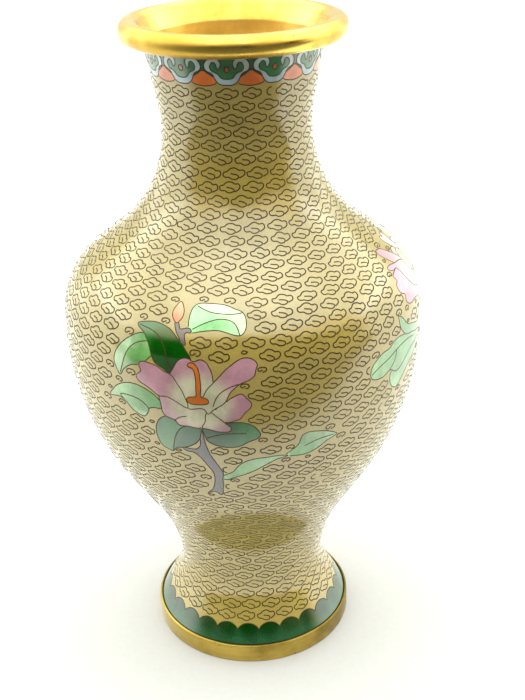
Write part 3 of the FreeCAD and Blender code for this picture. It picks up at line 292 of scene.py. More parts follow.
PEONY_LEAVES = [
    ("vein", [(-47.5, 137.7), (-44.3, 139.6), (-40.5, 140.8), (-37.5, 142.0), (-34.4, 142.8),
              (-28.0, 143.0), (-22.4, 141.8)]),
    ("vein", [(-36.2, 142.2), (-36.5, 139.8), (-38.0, 137.5), (-39.6, 136.2)]),
    ("leaf", [(-48.0, 138.6), (-47.2, 141.3), (-45.3, 143.1), (-42.8, 144.4), (-39.9, 144.8),
              (-37.8, 146.1), (-34.8, 146.7), (-31.1, 146.1), (-27.4, 144.8), (-23.5, 143.8),
              (-19.0, 142.3), (-14.3, 140.8), (-16.7, 139.3), (-23.6, 138.3), (-30.2, 135.7),
              (-34.3, 133.7), (-36.4, 133.9), (-39.5, 135.9), (-42.1, 134.9), (-45.1, 134.9),
              (-46.9, 135.7), (-47.9, 137.2)]),
    ("leaf", [(-27.4, 144.8), (-29.5, 145.7), (-31.8, 147.7), (-33.0, 149.9), (-33.1, 152.4),
              (-32.6, 153.9), (-31.4, 153.3), (-29.7, 151.2), (-27.7, 148.9), (-24.5, 147.6),
              (-20.6, 146.2), (-15.6, 145.4), (-10.0, 150.6), (-4.0, 148.4), (-6.0, 144.0),
              (-14.0, 140.6), (-21.3, 142.0)]),
    ("leaf", [(-38.9, 134.2), (-32.3, 136.7), (-25.8, 138.8), (-19.0, 139.8), (-15.0, 138.0),
              (-19.0, 135.2), (-25.7, 132.2), (-30.9, 128.6), (-33.9, 126.4), (-37.1, 128.1),
              (-38.7, 130.7)]),
]
PEONY_STEM = [
    ("leaf", [(-1.4, 151.0), (-2.6, 144.0), (-1.6, 136.0), (1.0, 128.0), (3.4, 122.0),
              (5.2, 122.6), (3.4, 129.0), (1.4, 136.0), (0.4, 144.0), (1.4, 151.0)]),
]
PEONY_HEART = [
    ("heart", [(2.7, 164.0), (1.9, 166.3), (0.0, 167.2), (-1.9, 166.3), (-2.7, 164.0),
               (-1.9, 161.7), (0.0, 160.8), (1.9, 161.7)]),
]

RUYI_RIGHT = [(2.2, 236.6), (3.6, 237.7), (4.5, 239.4), (5.2, 240.4), (6.8, 241.2), (7.6, 242.8),
              (6.8, 244.7), (4.9, 245.5), (3.0, 245.2), (2.1, 244.1), (2.2, 242.7), (2.9, 241.9),
              (3.4, 242.6), (3.6, 243.6), (4.4, 244.2), (5.3, 243.6), (5.6, 242.2), (5.1, 241.3),
              (3.7, 240.6), (2.9, 240.0), (2.2, 239.0)]
RUYI_SCROLL = ([(0.0, 236.3)] + RUYI_RIGHT + [(0.0, 238.4)]
               + [(-x, z) for x, z in reversed(RUYI_RIGHT)])
RUYI_DOT = [(0.8, 241.7), (0.6, 242.4), (0.0, 242.7), (-0.6, 242.4), (-0.8, 241.7), (-0.6, 241.0),
            (0.0, 240.7), (0.6, 241.0)]
RUYI_FIELD = [(0.0, 237.5), (3.0, 239.4), (5.4, 240.9), (6.2, 243.0), (4.4, 244.9), (2.4, 246.0),
              (2.0, 249.0), (0.0, 250.0), (-2.0, 249.0), (-2.4, 246.0), (-4.4, 244.9),
              (-6.2, 243.0), (-5.4, 240.9), (-3.0, 239.4)]
COLLAR_DROP = [(0.0, 241.4), (-2.0, 240.2), (-4.0, 238.7), (-4.4, 237.4), (-2.4, 236.3),
               (0.0, 236.0), (2.4, 236.3), (4.4, 237.4), (4.0, 238.7), (2.0, 240.2)]

# a cloud is one open wire; the fillers are smaller bent wires
CLOUD = [(-1.1, 0.05), (0.1, -0.2), (1.1, -0.55), (1.6, -1.15), (1.15, -1.8), (0.2, -2.05),
         (-0.9, -1.8), (-1.75, -1.2), (-2.8, -1.2), (-3.55, -0.45), (-3.4, 0.5), (-2.3, 0.75),
         (-1.6, 1.4), (-0.7, 1.95), (0.35, 2.0), (1.35, 1.5), (1.95, 1.05), (2.9, 1.2),
         (3.65, 0.4), (3.5, -0.6), (2.6, -1.25), (1.75, -1.6)]
OVAL = [(0.3, -0.1), (-0.3, -0.2), (-0.8, -0.7), (-1.7, -0.4), (-1.9, 0.3), (-1.1, 1.0),
        (0.2, 1.15), (1.4, 0.8), (1.9, 0.0), (1.2, -0.8), (0.2, -1.0)]
DROP = [(1.7, 0.1), (0.7, 0.6), (-0.6, 0.75), (-1.4, 0.3), (-1.4, -0.3), (-0.6, -0.7),
        (0.6, -0.5), (1.6, 0.0)]
CRESCENT = [(0.9, 1.4), (0.1, 1.15), (-0.5, 0.5), (-0.5, -0.4), (0.0, -1.1), (0.8, -1.4)]

# ------------------------------------------------------------------ colours of the cells
# a fade is (colour near the centre, colour far from it, centre, near mm, far mm)

PINK, IVORY = rgb(160, 118, 131), rgb(176, 174, 148)
DARK, LIT_DARK = rgb(3, 67, 8), rgb(32, 103, 37)
MINT, LEAF = rgb(131, 165, 118), rgb(98, 146, 88)
SAGE, DEEP_SAGE = rgb(53, 100, 58), rgb(27, 73, 41)
FADES = {
    "magnolia_stamen": (rgb(176, 92, 18), rgb(190, 104, 24), (-5.0, 144.0), 4, 10),
    "magnolia_petal": (IVORY, PINK, (-4.0, 137.0), 7.5, 14.0),
    "magnolia_bud": (rgb(214, 100, 44), rgb(236, 140, 92), (-12.6, 163.6), 1.0, 4.5),
    "magnolia_branch": (rgb(70, 66, 70), rgb(84, 80, 84), (-2.0, 106.0), 4, 20),
    "magnolia_pale_leaf": (LEAF, MINT, (-20.0, 146.0), 8, 20),
    "magnolia_dark_leaf": (DARK, LIT_DARK, (-13.0, 152.5), 7, 15),
    "magnolia_sage_leaf": (DEEP_SAGE, SAGE, (-5.0, 124.5), 6, 17),
    "peony_heart": (rgb(214, 178, 70), rgb(200, 150, 50), (0.0, 164.0), 1, 4),
    "peony_petal": (rgb(190, 179, 166), rgb(181, 130, 149), (0.0, 162.0), 7, 20),
    "peony_leaf": (rgb(81, 134, 74), rgb(117, 158, 107), (0.0, 150.0), 20, 44),
    "blue_peony_heart": (rgb(220, 186, 80), rgb(206, 158, 60), (0.0, 164.0), 1, 4),
    "blue_peony_petal": (rgb(188, 188, 174), rgb(127, 148, 169), (0.0, 162.0), 7, 20),
    "blue_peony_leaf": (rgb(75, 123, 69), rgb(125, 161, 112), (0.0, 150.0), 20, 44),
    "ruyi_dot": (rgb(176, 92, 52), rgb(166, 88, 50), (0.0, 241.6), 0.5, 2),
    "ruyi_scroll": (rgb(146, 168, 180), rgb(176, 196, 200), (0.0, 238.0), 4, 8),
    "ruyi_field": (rgb(40, 104, 58), rgb(54, 116, 72), (0.0, 241.6), 2, 7),
    "collar_drop": (rgb(186, 92, 26), rgb(204, 108, 40), (0.0, 237.0), 1, 5),
    "collar_ground": (rgb(34, 84, 56), rgb(34, 84, 56), (0.0, 240.0), 1, 5),
    "foot_border": (rgb(6, 52, 14), rgb(40, 80, 52), (0.0, 16.0), 3.5, 8.0),
    "field": (rgb(149, 133, 70), rgb(149, 133, 70), (0.0, 0.0), 1, 2),
}
# parts of a cell with their own fade: (cell, corners of the part, fade)
TOUCHES = [
    ("magnolia_pale_leaf", [(-5.4, 168.5), (-2.0, 167.4), (1.0, 166.9), (4.2, 166.7), (7.3, 166.7),
                            (10.1, 167.0), (8.0, 170.0), (0.0, 171.5), (-6.0, 171.0)],
     (rgb(185, 209, 157), rgb(171, 203, 153), (2.0, 168.0), 2, 8)),
    ("magnolia_pale_leaf", [(-7.2, 161.9), (-3.3, 163.8), (0.0, 164.9), (3.2, 165.4), (5.3, 165.2),
                            (7.6, 164.3), (8.8, 162.9), (9.7, 161.0), (2.0, 158.5), (-8.0, 159.0)],
     (rgb(101, 184, 92), rgb(151, 209, 138), (-1.0, 163.0), 2, 9)),
    ("magnolia_pale_leaf", [(-9.0, 160.0), (12.5, 159.0), (13.0, 170.0), (-9.0, 171.0)],
     (rgb(135, 199, 130), rgb(182, 218, 167), (-4.0, 165.0), 3, 14)),
    ("magnolia_pale_leaf", [(-21.9, 157.0), (-26.1, 155.9), (-29.4, 153.4), (-31.5, 149.9),
                            (-32.7, 146.4), (-33.8, 143.0), (-38.0, 143.0), (-38.0, 156.0),
                            (-28.0, 161.0), (-20.0, 161.0)],
     (rgb(96, 147, 87), rgb(142, 171, 129), (-20.0, 158.0), 3, 14)),
    ("magnolia_pale_leaf", [(-38.0, 141.5), (-18.0, 141.5), (-18.0, 161.0), (-38.0, 161.0)],
     (rgb(83, 136, 70), rgb(125, 157, 105), (-25.0, 150.5), 2, 9)),
    ("magnolia_pale_leaf", [(-42.0, 130.0), (-17.0, 130.0), (-17.0, 141.5), (-42.0, 141.5)],
     (rgb(69, 128, 55), rgb(131, 166, 118), (-20.0, 134.5), 4, 17)),
    ("magnolia_pale_leaf", [(0.0, 101.0), (25.5, 101.0), (25.5, 115.0), (0.0, 115.0)],
     (rgb(94, 142, 84), rgb(126, 163, 120), (6.0, 106.0), 3, 13)),
    ("magnolia_pale_leaf", [(23.0, 110.0), (43.0, 110.0), (43.0, 124.0), (23.0, 124.0)],
     (rgb(83, 134, 76), rgb(130, 165, 123), (27.0, 114.0), 3, 13)),
    ("magnolia_sage_leaf", [(-7.5, 127.4), (-11.2, 126.2), (-13.2, 123.8), (-14.4, 120.8),
                            (-15.1, 118.1), (-15.6, 114.0), (-23.0, 114.0), (-23.0, 131.0)],
     (rgb(51, 99, 56), rgb(83, 128, 81), (-17.0, 126.5), 4, 12)),
]


def fade(colours, flat):
    near_colour, far_colour, centre, near, far = colours
    t = ramp(near, far, np.hypot(*(flat - centre).T))[:, None]
    return near_colour * (1 - t) + far_colour * t


# ------------------------------------------------------------------ laying out the skin
# The skin is unrolled on a sheet: across = turn * SHEET, up = run.

SHEET = 1.2
EDGE = 180 * SHEET
HEADS, SCALLOPS = 12, 26


class Place:
    """Where a drawing goes: it faces a turn, and may be a mirror image."""

    def __init__(self, turn, mirror=1):
        self.turn, self.mirror = turn, mirror

    def lay(self, flat):
        flat = np.asarray(flat, float)
        run = run_at_height(flat[:, 1])
        r = radius_at(run)
        swing = np.degrees(np.arcsin(np.clip(flat[:, 0] / r, -0.999, 0.999)))
        run = run + np.maximum(flat[:, 1] - 247.0, 0)
        return np.column_stack(((self.turn + self.mirror * swing) * SHEET, run))

    def flatten(self, sheet):
        turn = (sheet[:, 0] / SHEET - self.turn + 180) % 360 - 180
        across = self.mirror * radius_at(sheet[:, 1]) * np.sin(np.radians(turn))
        return np.column_stack((across, height_at(sheet[:, 1])))


class Cell:
    def __init__(self, kind, ring, place, spray):
        self.kind, self.ring, self.place, self.spray = kind, ring, place, spray
        self.low, self.high = ring.min(axis=0), ring.max(axis=0)

    def shifted(self, across):
        return Cell(self.kind, self.ring + (across, 0), self.place, self.spray)

    def meets(self, low, high):
        return (self.low <= high).all() and (low <= self.high).all()


def mirrored(shapes):
    return [(kind, [(-x, z) for x, z in reversed(points)]) for kind, points in shapes]


PEONY = (PEONY_HEART + PEONY_INNER + mirrored(PEONY_INNER) + PEONY_SIDE
         + mirrored(PEONY_SIDE) + PEONY_BACK + PEONY_LEAVES + mirrored(PEONY_LEAVES)
         + PEONY_STEM)
cells, lines = [], []       # lines: (spray, sheet points, closed, number of cells above)


def draw(spray, shapes, place, named=None):
    for kind, points in shapes:
        if kind == "vein":
            lines.append((spray, place.lay(smooth(points, closed=False)), False, len(cells)))
            continue
        ring = place.lay(smooth(points))
        lines.append((spray, ring, True, len(cells)))
        cells.append(Cell(named or "%s_%s" % (spray, kind), ring, place, spray))


def scallop_edge():
    """Upper edge of the foot border, once round the vase."""
    turns = np.linspace(-200, 200, 1601)
    run = np.full(turns.shape, 4.0)
    pitch = 360.0 / SCALLOPS
    for _ in range(12):
        off = (turns - 9.5 + pitch / 2) % pitch - pitch / 2
        across = radius_at(run) * np.sin(np.radians(off)) / 4.9
        rise = 11.4 + 4.0 * np.sqrt(np.clip(1 - across ** 2, 0, 1))
        run = 0.5 * run + 0.5 * run_at_height(rise)
    return np.column_stack((turns * SHEET, run))


magnolia_place = Place(-10.0)
draw("magnolia", MAGNOLIA, magnolia_place)
draw("peony", PEONY, Place(84.0))
draw("blue_peony", PEONY, Place(-122.0, mirror=-1))
first_spray_cells = len(cells)
for k in range(HEADS):
    draw("ruyi", [("dot", RUYI_DOT), ("scroll", RUYI_SCROLL), ("field", RUYI_FIELD)],
         Place((-5.0 + 30.0 * k + 180) % 360 - 180))
for k in range(HEADS):
    draw("collar", [("drop", COLLAR_DROP)], Place((10.0 + 30.0 * k + 180) % 360 - 180))
for cell in list(cells):
    for shift in (-2 * EDGE, 2 * EDGE):
        copy = cell.shifted(shift)
        if copy.meets(np.array((-EDGE, 0)), np.array((EDGE, TOP_RUN))):
            cells.append(copy)
border = scallop_edge()
border_ring = np.vstack((border, [(border[-1, 0], -5.0), (border[0, 0], -5.0)]))
cells.append(Cell("foot_border", border_ring, Place(0.0), "foot_border"))


def hidden(points, spray_cells):
    """Which sheet points lie under other cells, or right beside their edges."""
    under = np.zeros(len(points), bool)
    low, high = points.min(axis=0) - 1, points.max(axis=0) + 1
    squeeze = np.array((radius_at(points[:, 1].mean()) * math.pi / 180 / SHEET, 1.0))
    for cell in spray_cells:
        if cell.meets(low, high):
            under |= inside(points, cell.ring)
            gap = (points[:, None, :] - cell.ring[None, :, :]) * squeeze
            under |= (gap ** 2).sum(axis=2).min(axis=1) < 0.2 ** 2
    return under


def visible_runs(points, closed, covers):
    """The stretches of a line that no cell covers, each with a flag for a whole loop."""
    under = hidden(points, covers) | (points[:, 1] > TOP_RUN) | (points[:, 1] < 0)
    if not under.any():
        return [(points, closed)]
    if under.all():
        return []
    if closed:
        first = int(np.argmax(under))
        points, under = np.roll(points, -first, axis=0), np.roll(under, -first)
    runs, current = [], []
    for point, covered in zip(points, under):
        if not covered:
            current.append(point)
        elif current:
            runs.append(current)
            current = []
    if current:
        runs.append(current)
    return [(np.array(run), False) for run in runs if len(run) > 2]


# ------------------------------------------------------------------ meshes

def mesh_object(name, verts, faces, normals=None, paint=None, smooth_faces=None):
    """A mesh from arrays; faces is a list of (n, 3) and (n, 4) index arrays."""
    mesh = bpy.data.meshes.new(name)
    corners = np.concatenate([f.ravel() for f in faces])
    sizes = np.concatenate([np.full(len(f), f.shape[1]) for f in faces])
    starts = np.concatenate(([0], np.cumsum(sizes)[:-1]))
    mesh.vertices.add(len(verts))
    mesh.vertices.foreach_set("co", np.asarray(verts, np.float32).ravel())
    mesh.loops.add(len(corners))
    mesh.loops.foreach_set("vertex_index", corners.astype(np.int32))
    mesh.polygons.add(len(sizes))
    mesh.polygons.foreach_set("loop_start", starts.astype(np.int32))
    mesh.update(calc_edges=True)
    mesh.validate()
    flags = smooth_faces if smooth_faces is not None else np.zeros(len(sizes), bool)
    mesh.polygons.foreach_set("use_smooth", flags)
    if paint is not None:
        layer = mesh.color_attributes.new("paint", "FLOAT_COLOR", "CORNER")
        layer.data.foreach_set("color", paint.astype(np.float32).ravel())
    if normals is not None:
        mesh.normals_split_custom_set(normals)
    piece = bpy.data.objects.new(name, mesh)
    bpy.context.scene.collection.objects.link(piece)
    return piece


def finish_piece(piece, look, slot, *nodes):
    piece.data.materials.append(look)
    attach(piece, "root")
    if nodes:
        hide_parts(*nodes)
    return piece


def bars(name, runs, width, proud=0.03, deep=0.5):
    """Wires laid edge-on in the skin along sheet lines, as closed solid bars."""
    verts, faces, base = [], [], 0
    for points, closed in runs:
        turn, run = points[:, 0] / SHEET, points[:, 1]
        centre, up = spot(turn, run), facing(turn, run)
        if closed:
            along = np.roll(centre, -1, axis=0) - np.roll(centre, 1, axis=0)
        else:
            along = np.gradient(centre, axis=0)
        side = np.cross(up, along)
        side /= np.linalg.norm(side, axis=1)[:, None]
        half = width / 2 * MM
        rows = [centre - side * half - up * deep * MM, centre - side * half * 0.8 + up * proud * MM,
                centre + side * half * 0.8 + up * proud * MM, centre + side * half - up * deep * MM]
        n = len(points)
        verts.append(np.stack(rows, axis=1).reshape(-1, 3))
        i = np.arange(n if closed else n - 1)
        j = (i + 1) % n
        for a, b in ((0, 1), (1, 2), (2, 3), (3, 0)):
            faces.append(base + np.stack((4 * i + a, 4 * j + a, 4 * j + b, 4 * i + b), axis=1))
        if not closed:
            faces.append(base + np.array([[0, 1, 2, 3]]))
            faces.append(base + 4 * (n - 1) + np.array([[3, 2, 1, 0]]))
        base += 4 * n
    return mesh_object(name, np.vstack(verts), [np.vstack(faces)])


# ------------------------------------------------------------------ the skin, cut into cells

def cut_skin():
    """Triangles of the unrolled skin, whose edges follow every line of the drawings."""
    spots, edges = [], []

    def trace(points, closed):
        base = sum(len(s) for s in spots)
        spots.append(points)
        count = len(points)
        last = count if closed else count - 1
        edges.extend((base + i, base + (i + 1) % count) for i in range(last))

    rows = int(TOP_RUN / 2.2)
    columns = int(2 * EDGE / 2.4)
    ups, acrosses = np.linspace(0, TOP_RUN, rows + 1), np.linspace(-EDGE, EDGE, columns + 1)
    frame_line = np.vstack([
        [(x, 0.0) for x in acrosses], [(EDGE, y) for y in ups[1:]],
        [(x, TOP_RUN) for x in acrosses[-2::-1]], [(-EDGE, y) for y in ups[-2:0:-1]]])
    trace(frame_line, True)
    trace(border[::2], False)
    for cell in cells:
        if cell.kind != "foot_border":
            trace(cell.ring, True)
    for spray, points, closed, _ in lines:
        if not closed:
            trace(points, False)
    traced = np.vstack(spots)
    grid = np.array([(x, y) for x in acrosses[1:-1] for y in ups[1:-1]])
    taken = set()
    for x, y in np.round(traced / 0.8).astype(int):
        taken.update(((x, y), (x + 1, y), (x - 1, y), (x, y + 1), (x, y - 1)))
    free = [tuple(q) not in taken for q in np.round(grid / 0.8).astype(int)]
    traced = np.vstack((traced, grid[free]))
    verts, _, tris, *_ = delaunay_2d_cdt([Vector(p) for p in traced], edges, [], 0, 1e-4, False)
    return np.array([tuple(v) for v in verts]), np.array([tuple(t) for t in tris])


def owners(middles):
    """Index of the topmost cell over each point, -1 for the open ground."""
    owner = np.full(len(middles), -1)
    for index, cell in enumerate(cells):
        box = ((middles >= cell.low) & (middles <= cell.high)).all(axis=1) & (owner < 0)
        chosen = np.flatnonzero(box)
        if len(chosen):
            owner[chosen[inside(middles[chosen], cell.ring)]] = index
    return owner


sheet_verts, sheet_tris = cut_skin()
middles = sheet_verts[sheet_tris].mean(axis=1)
keep = (np.abs(middles[:, 0]) < EDGE) & (middles[:, 1] > 0) & (middles[:, 1] < TOP_RUN)
sheet_tris, middles = sheet_tris[keep], middles[keep]
corner = sheet_verts[sheet_tris]
double_area = ((corner[:, 1, 0] - corner[:, 0, 0]) * (corner[:, 2, 1] - corner[:, 0, 1])
               - (corner[:, 1, 1] - corner[:, 0, 1]) * (corner[:, 2, 0] - corner[:, 0, 0]))
sheet_tris = sheet_tris[double_area > 1e-9]
middles = sheet_verts[sheet_tris].mean(axis=1)
owner = owners(middles)
# the last column of points is the first one again
seam = {round(y, 3): i for i, (x, y) in enumerate(sheet_verts) if x < -EDGE + 1e-3}
weld = np.arange(len(sheet_verts))
for i, (x, y) in enumerate(sheet_verts):
    if x > EDGE - 1e-3:
        weld[i] = seam.get(round(y, 3), i)
kinds = np.array(["field"] + [cell.kind for cell in cells], dtype=object)[owner + 1]
kinds[(owner < 0) & (middles[:, 1] > run_at_height(238.0))] = "collar_ground"


def cell_paint(kind, chosen):
    """Colour at every corner of the chosen triangles."""
    corners = sheet_verts[sheet_tris[chosen]].reshape(-1, 2)
    colour = np.tile(FADES[kind][0], (len(corners), 1))
    belongs = np.repeat(owner[chosen], 3)
    centres = np.repeat(middles[chosen], 3, axis=0)
    for index in np.unique(belongs[belongs >= 0]):
        mine = belongs == index
        place = cells[index].place
        flat, middle = place.flatten(corners[mine]), place.flatten(centres[mine])
        if kind == "foot_border":
            pitch = 360.0 / SCALLOPS
            off = (corners[mine][:, 0] / SHEET - 9.5 + pitch / 2) % pitch - pitch / 2
            flat[:, 0] = radius_at(corners[mine][:, 1]) * np.sin(np.radians(off))
        colour[mine] = fade(FADES[kind], flat)
        done = np.zeros(len(flat), bool)
        for touch_kind, area, colours in TOUCHES:
            if touch_kind == kind:
                here = inside(middle, area) & ~done
                tones = fade(colours, flat)
                here_colour = colour[mine]
                here_colour[here] = tones[here]
                colour[mine] = here_colour
                done |= here
    return np.column_stack((colour, np.ones(len(colour))))


def cell_piece(kind, depth=1.0):
    """One closed solid for every cell of a kind: polished face, back and sides."""
    chosen = np.flatnonzero(kinds == kind)
    tris = weld[sheet_tris[chosen]]
    used, local = np.unique(tris, return_inverse=True)
    local = local.reshape(-1, 3)
    turn, run = sheet_verts[used][:, 0] / SHEET, sheet_verts[used][:, 1]
    face, back = spot(turn, run), spot(turn, run, depth)
    count = len(used)
    directed = np.vstack((local[:, [0, 1]], local[:, [1, 2]], local[:, [2, 0]]))
    key = directed[:, 0] * count + directed[:, 1]
    twin = directed[:, 1] * count + directed[:, 0]
    rim = directed[~np.isin(key, twin)]
    sides = np.column_stack((rim[:, 1], rim[:, 0], rim[:, 0] + count, rim[:, 1] + count))
    paint = cell_paint(kind, chosen)
    spare = np.tile(paint[0], (len(local) * 3 + len(sides) * 4, 1))
    out = facing(turn, run)
    normals = np.vstack((out[local.ravel()], np.zeros((len(local) * 3 + len(sides) * 4, 3))))
    flags = np.concatenate((np.ones(len(local), bool), np.zeros(len(local) + len(sides), bool)))
    return mesh_object(kind + "_cells", np.vstack((face, back)),
                       [local, local[:, ::-1] + count, sides], normals,
                       np.vstack((paint, spare)), flags)


# ------------------------------------------------------------------ cloud rows

NEWBORN = 0.42      # size of the small wire with which an extra cloud starts


def row_positions():
    """Run, turns and sizes of the clouds in every row.

    A cloud sits under the gap between two clouds of the row before.  Where a row needs one
    more, it starts as a small wire, and the clouds under it grow to full size."""
    first, last = 11.6, run_at_height(236.0) - 2.7
    count = int(round((last - first) / 4.72))
    rows, turns, sizes = [], None, None
    for k in range(count + 1):
        run = first + (last - first) * k / count
        r = float(radius_at(run))
        pitch = 8.1 + 0.6 * float(ramp(30, 60, r))
        want = int(round(2 * math.pi * r / pitch))
        if turns is None:
            turns, sizes = np.arange(want) * 360.0 / want - 172.0, np.ones(want)
        else:
            turns = turns + np.diff(np.append(turns, turns[0] + 360)) / 2
            sizes = np.minimum(1.0, (sizes + np.roll(sizes, -1)) / 2 + 0.15)
        while len(turns) != want:
            gaps = np.diff(np.append(turns, turns[0] + 360))
            gaps = gaps + np.array([dice.uniform(-0.6, 0.6) for _ in gaps])
            if len(turns) < want:
                at = int(np.argmax(gaps))
                turns = np.insert(turns, at + 1, turns[at] + gaps[at] / 2)
                sizes = np.insert(sizes, at + 1, NEWBORN)
            else:
                at = int(np.argmin(gaps))
                turns, sizes = np.delete(turns, at), np.delete(sizes, at)
            turns = spread(turns, sizes, at)
        rows.append((run, turns, sizes, pitch))
    return rows


def spread(turns, sizes, at):
    """Push the neighbours of a changed place apart until each has room for its size."""
    count = len(turns)
    off = np.abs((np.arange(count) - at + count / 2) % count - count / 2)
    pull = np.where(off < 9, 0.6, 0.0)
    for _ in range(80):
        before, after = np.roll(turns, 1), np.roll(turns, -1)
        before[0] -= 360
        after[-1] += 360
        left, right = np.roll(sizes, 1) + sizes, np.roll(sizes, -1) + sizes
        turns = turns + pull * ((before * right + after * left) / (left + right) - turns)
    return turns


def bent(template, turn, run, tilt, wide, tall):
    """A template wire laid on the skin, a little unevenly bent."""
    points = np.array(template) * (wide, tall)
    points += [(dice.gauss(0, 0.045), dice.gauss(0, 0.045)) for _ in template]
    c, s = math.cos(tilt), math.sin(tilt)
    points = points @ np.array(((c, s), (-s, c)))
    points = smooth(points, closed=False, gap=0.5)
    r = radius_at(run + points[:, 1])
    across = turn + np.degrees(points[:, 0] / r)
    return np.column_stack((across * SHEET, run + points[:, 1]))


TILE = 0.25     # sheet millimetres in a square of the map of places taken by cells


def taken_map():
    """Squares of the sheet that lie in a cell or right beside one."""
    columns, rows = int(2 * EDGE / TILE), int(TOP_RUN / TILE) + 1
    xs, ys = -EDGE + (np.arange(columns) + 0.5) * TILE, (np.arange(rows) + 0.5) * TILE
    taken = ys[None, :] < np.interp(xs, border[:, 0], border[:, 1])[:, None]
    for cell in cells:
        if cell.kind == "foot_border":
            continue
        i = np.flatnonzero((xs > cell.low[0]) & (xs < cell.high[0]))
        j = np.flatnonzero((ys > cell.low[1]) & (ys < cell.high[1]))
        if len(i) and len(j):
            points = np.array(np.meshgrid(xs[i], ys[j], indexing="ij")).reshape(2, -1).T
            taken[np.ix_(i, j)] |= inside(points, cell.ring).reshape(len(i), len(j))
    for _ in range(2):
        taken = (taken | np.roll(taken, 1, 0) | np.roll(taken, -1, 0)
                 | np.roll(taken, 1, 1) | np.roll(taken, -1, 1))
    return taken


taken = taken_map()


def crowded(wire):
    i = np.floor((wire[:, 0] + EDGE) / TILE).astype(int) % taken.shape[0]
    j = np.clip(np.floor(wire[:, 1] / TILE).astype(int), 0, taken.shape[1] - 1)
    return taken[i, j].any()


def cloud_wires():
    wires = []
    for run, turns, sizes, pitch in row_positions():
        gaps = np.diff(np.append(turns, turns[0] + 360)) * math.pi / 180 * radius_at(run)
        room_left = (gaps + np.roll(gaps, 1)) / 2
        for turn, gap, size in zip(turns, room_left, sizes):
            wide = min(max(gap / pitch, 0.8), 1.03) * dice.uniform(0.97, 1.03)
            tall = 0.96 * dice.uniform(0.97, 1.03)
            tilt = math.radians(dice.gauss(0, 2.0))
            at = run + dice.gauss(0, 0.1)
            tries = [(CLOUD, wide, tall, 0), (CLOUD, wide * 0.84, tall * 0.86, 0.5)]
            fillers = [(OVAL, 1.0, 1.0, 0.9), (OVAL, 0.8, 0.8, 1.5), (DROP, 0.9, 0.9, 1.2),
                       (CRESCENT, 1.0, 1.0, 1.6), (DROP, 0.7, 0.7, 2.0)]
            if size < 0.6:
                small = dice.choice([(OVAL, 0.75, 0.85, 0), (DROP, 1.0, 1.0, 0), (CRESCENT, 1.1, 1.1, 0)])
                tries = [small]
            elif size < 0.8:
                tries = [(CLOUD, 0.86 * wide, 0.95 * tall, 0)]
            turn += math.degrees(dice.gauss(0, 0.12) / radius_at(run))
            placed = None
            for shape, a, b, slack in tries + fillers:
                for step in range(1 if slack == 0 else 5):
                    shift = slack * (0, 1, -1, 0, 0)[step]
                    lift = slack * (0, 0, 0, 0.8, -0.8)[step]
                    place = turn + math.degrees(shift / radius_at(run))
                    wire = bent(shape, place, at + lift, tilt, a, b)
                    if not crowded(wire):
                        placed = wire
                        break
                if placed is not None:
                    break
            if placed is not None:
                wires.append(placed)
    return wires


# ------------------------------------------------------------------ materials

class Look:
    """A material made of nodes on the piece's own coordinates, in metres."""

    def __init__(self, name, tree=None):
        if tree is None:
            self.material = bpy.data.materials.new(name)
            self.material.use_nodes = True
            tree = self.material.node_tree
            self.shader = tree.nodes["Principled BSDF"]
        self.nodes, self.links = tree.nodes, tree.links

    def node(self, kind, inputs=(), **settings):
        made = self.nodes.new("ShaderNode" + kind)
        for key, value in settings.items():
            setattr(made, key, value)
        for key, value in dict(inputs).items():
            self.feed(made.inputs[key], value)
        return made

    def feed(self, socket, value):
        if isinstance(value, bpy.types.NodeSocket):
            self.links.new(value, socket)
        else:
            socket.default_value = value

    def where(self, stretch=None):
        spots = self.node("TexCoord").outputs["Object"]
        if stretch is None:
            return spots
        return self.node("Mapping", {"Vector": spots, "Scale": stretch}).outputs[0]

    def noise(self, scale, detail=3.0, stretch=None, rough=0.5):
        made = self.node("TexNoise", {"Vector": self.where(stretch), "Scale": scale,
                                      "Detail": detail, "Roughness": rough})
        return made.outputs[0]

    def span(self, value, low, high, to_low, to_high):
        made = self.node("MapRange", {"Value": value, "From Min": low, "From Max": high,
                                      "To Min": to_low, "To Max": to_high},
                         interpolation_type="SMOOTHSTEP")
        return made.outputs[0]

    def sum(self, a, b, operation="ADD"):
        return self.node("Math", {0: a, 1: b}, operation=operation).outputs[0]

    def mix(self, share, a, b, blend="MIX"):
        made = self.node("Mix", {0: share, 6: a, 7: b}, data_type="RGBA", blend_type=blend)
        return made.outputs[2]

    def bump(self, height, distance, under=None):
        inputs = {"Height": height, "Distance": distance, "Strength": 1.0}
        if under is not None:
            inputs["Normal"] = under
        return self.node("Bump", inputs).outputs[0]

    def set(self, **values):
        for key, value in values.items():
            self.feed(self.shader.inputs[key.replace("_", " ")], value)
        return self.material


def tint(colour):
    return (*[float(c) for c in colour], 1.0)


def specks(look, scale, size, share):
    """Small round marks, only in a share of the cells of a loose grid."""
    cellular = look.node("TexVoronoi", {"Vector": look.where(), "Scale": scale})
    chance = look.node("SeparateColor", {0: cellular.outputs["Color"]}).outputs[0]
    dot = look.span(cellular.outputs["Distance"], size, size * 0.6, 0, 1)
    picked = look.span(chance, share, share - 0.01, 0, 1)
    return look.sum(dot, picked, "MULTIPLY")


